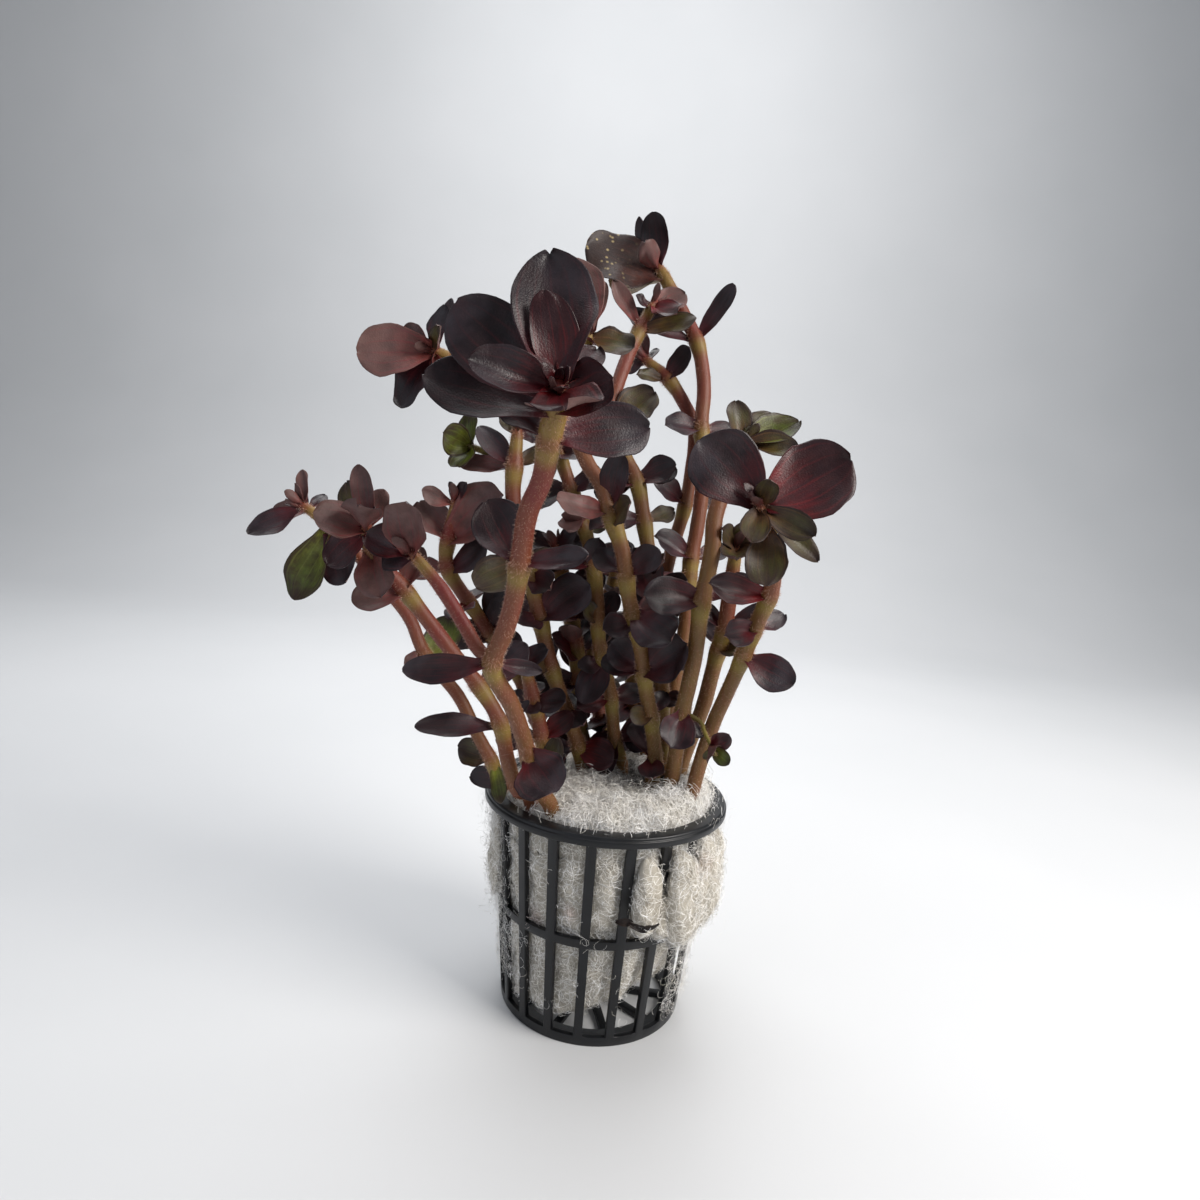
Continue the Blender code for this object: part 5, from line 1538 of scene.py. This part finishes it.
def pot_plastic():
    """Injection-moulded black polypropylene: semi-gloss with a very fine mould grain."""
    made, tree, shader = new_material("black_polypropylene_moulded", 0.36, **{"Specular IOR Level": 0.38})
    place = add_node(tree, "ShaderNodeTexCoord", {})
    grain = add_node(tree, "ShaderNodeTexNoise", {"Vector": place.outputs["Object"], "Scale": 3200.0,
                     "Detail": 2.0})
    flow = add_node(tree, "ShaderNodeTexNoise", {"Vector": place.outputs["Object"], "Scale": 190.0,
                    "Detail": 3.0})
    skin = mix(tree, ramp_between(tree, flow.outputs["Fac"], 0.35, 0.7), "#0a0b0e", "#121418")
    tree.links.new(skin, shader.inputs["Base Color"])
    shine = ramp_between(tree, flow.outputs["Fac"], 0.3, 0.7, 0.28, 0.46)
    tree.links.new(shine, shader.inputs["Roughness"])
    relief = add_node(tree, "ShaderNodeBump", {"Strength": 0.12, "Distance": 0.0001,
                      "Height": grain.outputs["Fac"]})
    tree.links.new(relief.outputs[0], shader.inputs["Normal"])
    return made


STEM, HAIR, DARK, UNDER, GREEN, OLIVE, BROWN, PALE, RED = range(9)
LOOK_FINISHES = {
    "d": (DARK, UNDER), "u": (UNDER, DARK), "g": (GREEN, OLIVE), "o": (OLIVE, UNDER),
    "b": (BROWN, UNDER), "p": (PALE, PALE), "r": (RED, UNDER), "t": (DARK, UNDER),
}


def shoot_finishes():
    return [
        stem_skin(),
        hair_skin(),
        # The shares of grey patches given below are painted sheen on the leaves.
        leaf_skin("leaf_dark_purple", "#4c1016", "#190d13", "#521a20", "#271116", 0.4, painted_sheen=0.2),
        leaf_skin("leaf_underside_brown", "#7c3c36", "#624541", "#7c2c34", "#4a332f", 0.5, painted_sheen=0.1),
        leaf_skin("leaf_green", "#6f7024", "#4f5c18", "#7f8440", "#38260f", 0.42,
                  rim="#2c1713"),
        leaf_skin("leaf_olive", "#563520", "#443f1c", "#6b4c2c", "#332219", 0.46,
                  painted_sheen=0.08, rim="#2a1815"),
        leaf_skin("leaf_brown_spotted", "#47231d", "#2c1b16", "#4c2d25", "#221313", 0.45, spots="#99875f"),
        leaf_skin("leaf_pale", "#7d6a50", "#94805f", "#765a44", "#786048", 0.5),
        leaf_skin("leaf_wine_red", "#6a1015", "#260b10", "#701e22", "#340e12", 0.4, painted_sheen=0.1),
    ]


# ---- Camera, floor and lights -----------------------------------------------------------------------


def set_camera():
    """The photograph's viewpoint, worked out from the pot's rim, base and bars."""
    place = Vector((-4.52, -160.30, 105.87)) * MM
    forward = Vector((0.0, 0.99104, -0.13354)).normalized()
    right = forward.cross(Vector((-0.08268, 0.13308, 0.98765))).normalized()
    up = right.cross(forward)
    turned = Matrix((right, up, -forward)).transposed().to_4x4()
    turned.translation = place
    lens = bpy.data.cameras.new("camera")
    lens.lens, lens.sensor_width = 24.0, 36.0
    lens.clip_start, lens.clip_end = 0.005, 20.0
    camera = bpy.data.objects.new("camera", lens)
    camera.matrix_world = turned
    bpy.context.scene.collection.objects.link(camera)
    bpy.context.scene.camera = camera


def set_floor():
    """A pale floor that curves up into the backdrop."""
    profile = [(-900.0, 0.0), (420.0, 0.0)]
    profile += [(420.0 + 380.0 * math.sin(t), 380.0 * (1 - math.cos(t)))
                for t in np.linspace(0.1, 0.5 * math.pi, 14)]
    profile.append((800.0, 1500.0))
    points, faces = [], []
    for x in (-1600.0, 1600.0):
        points += [(x, y, z) for y, z in profile]
    count = len(profile)
    faces = [(i, i + count, i + count + 1, i + 1) for i in range(count - 1)]
    made, tree, shader = new_material("pale_board", 0.55)
    place = add_node(tree, "ShaderNodeTexCoord", {})
    cloud = add_node(tree, "ShaderNodeTexNoise", {"Vector": place.outputs["Object"], "Scale": 9.0})
    skin = mix(tree, cloud.outputs["Fac"], "#c9cbcd", "#d2d3d5")
    tree.links.new(skin, shader.inputs["Base Color"])
    floor = plain_object("floor", points, faces, made)
    floor.data.shade_smooth()


def set_lights():
    lights = [("key", (360, -200, 340), 260, 3.0, "#fffaf4"), ("fill", (-420, -340, 200), 420, 0.45, "#eef3ff"),
              ("top", (-60, 160, 480), 420, 1.6, "#ffffff"), ("wall", (0, 340, 620), 600, 2.9, "#ffffff")]
    target = Vector((-10, -10, 80))
    for name, place, size, power, tint in lights:
        lamp = bpy.data.lights.new(name, "AREA")
        lamp.size, lamp.energy, lamp.color = size * MM, power, linear(tint)[:3]
        holder = bpy.data.objects.new(name, lamp)
        holder.location = Vector(place) * MM
        aim = Vector((0.0, 800.0, 250.0)) if name == "wall" else target
        holder.rotation_euler = (aim - Vector(place)).to_track_quat("-Z", "Y").to_euler()
        bpy.context.scene.collection.objects.link(holder)
    world = bpy.data.worlds.new("studio")
    world.use_nodes = True
    sky = world.node_tree.nodes["Background"]
    sky.inputs[0].default_value = linear("#e9eef5")
    sky.inputs[1].default_value = 0.3
    bpy.context.scene.world = world
    bpy.context.scene.view_settings.view_transform = "Standard"


def main():
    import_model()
    set_camera()
    set_floor()
    set_lights()
    lines, placed = grow_shoots([basket_shell(), wool_core()])
    build_shoots(lines, placed, shoot_finishes())
    pot = detailed_pot(pot_plastic())
    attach(pot, "root")
    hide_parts("net_pot")
    # The packed lump's greys, darker than the fibres' white, are painted shade under the loose fibres.
    packed = wool_skin("polyester_wool_packed", "#c9c3b7", "#a39c8f", "#a39c8f", 0.1,
                       WOOL_STAINS_AND_SHADE + CROWN_PAINTED_SHADE)
    build_wool(packed, wool_skin("polyester_fibre", "#ffffff", "#f6f3ec", "#beb8ad", 0.25, WOOL_STAINS_AND_SHADE))
    wilted_scrap(leaf_skin("leaf_wilted", "#1d120e", "#140d0b", "#2a1a12", "#2b1e16", 0.6))


main()
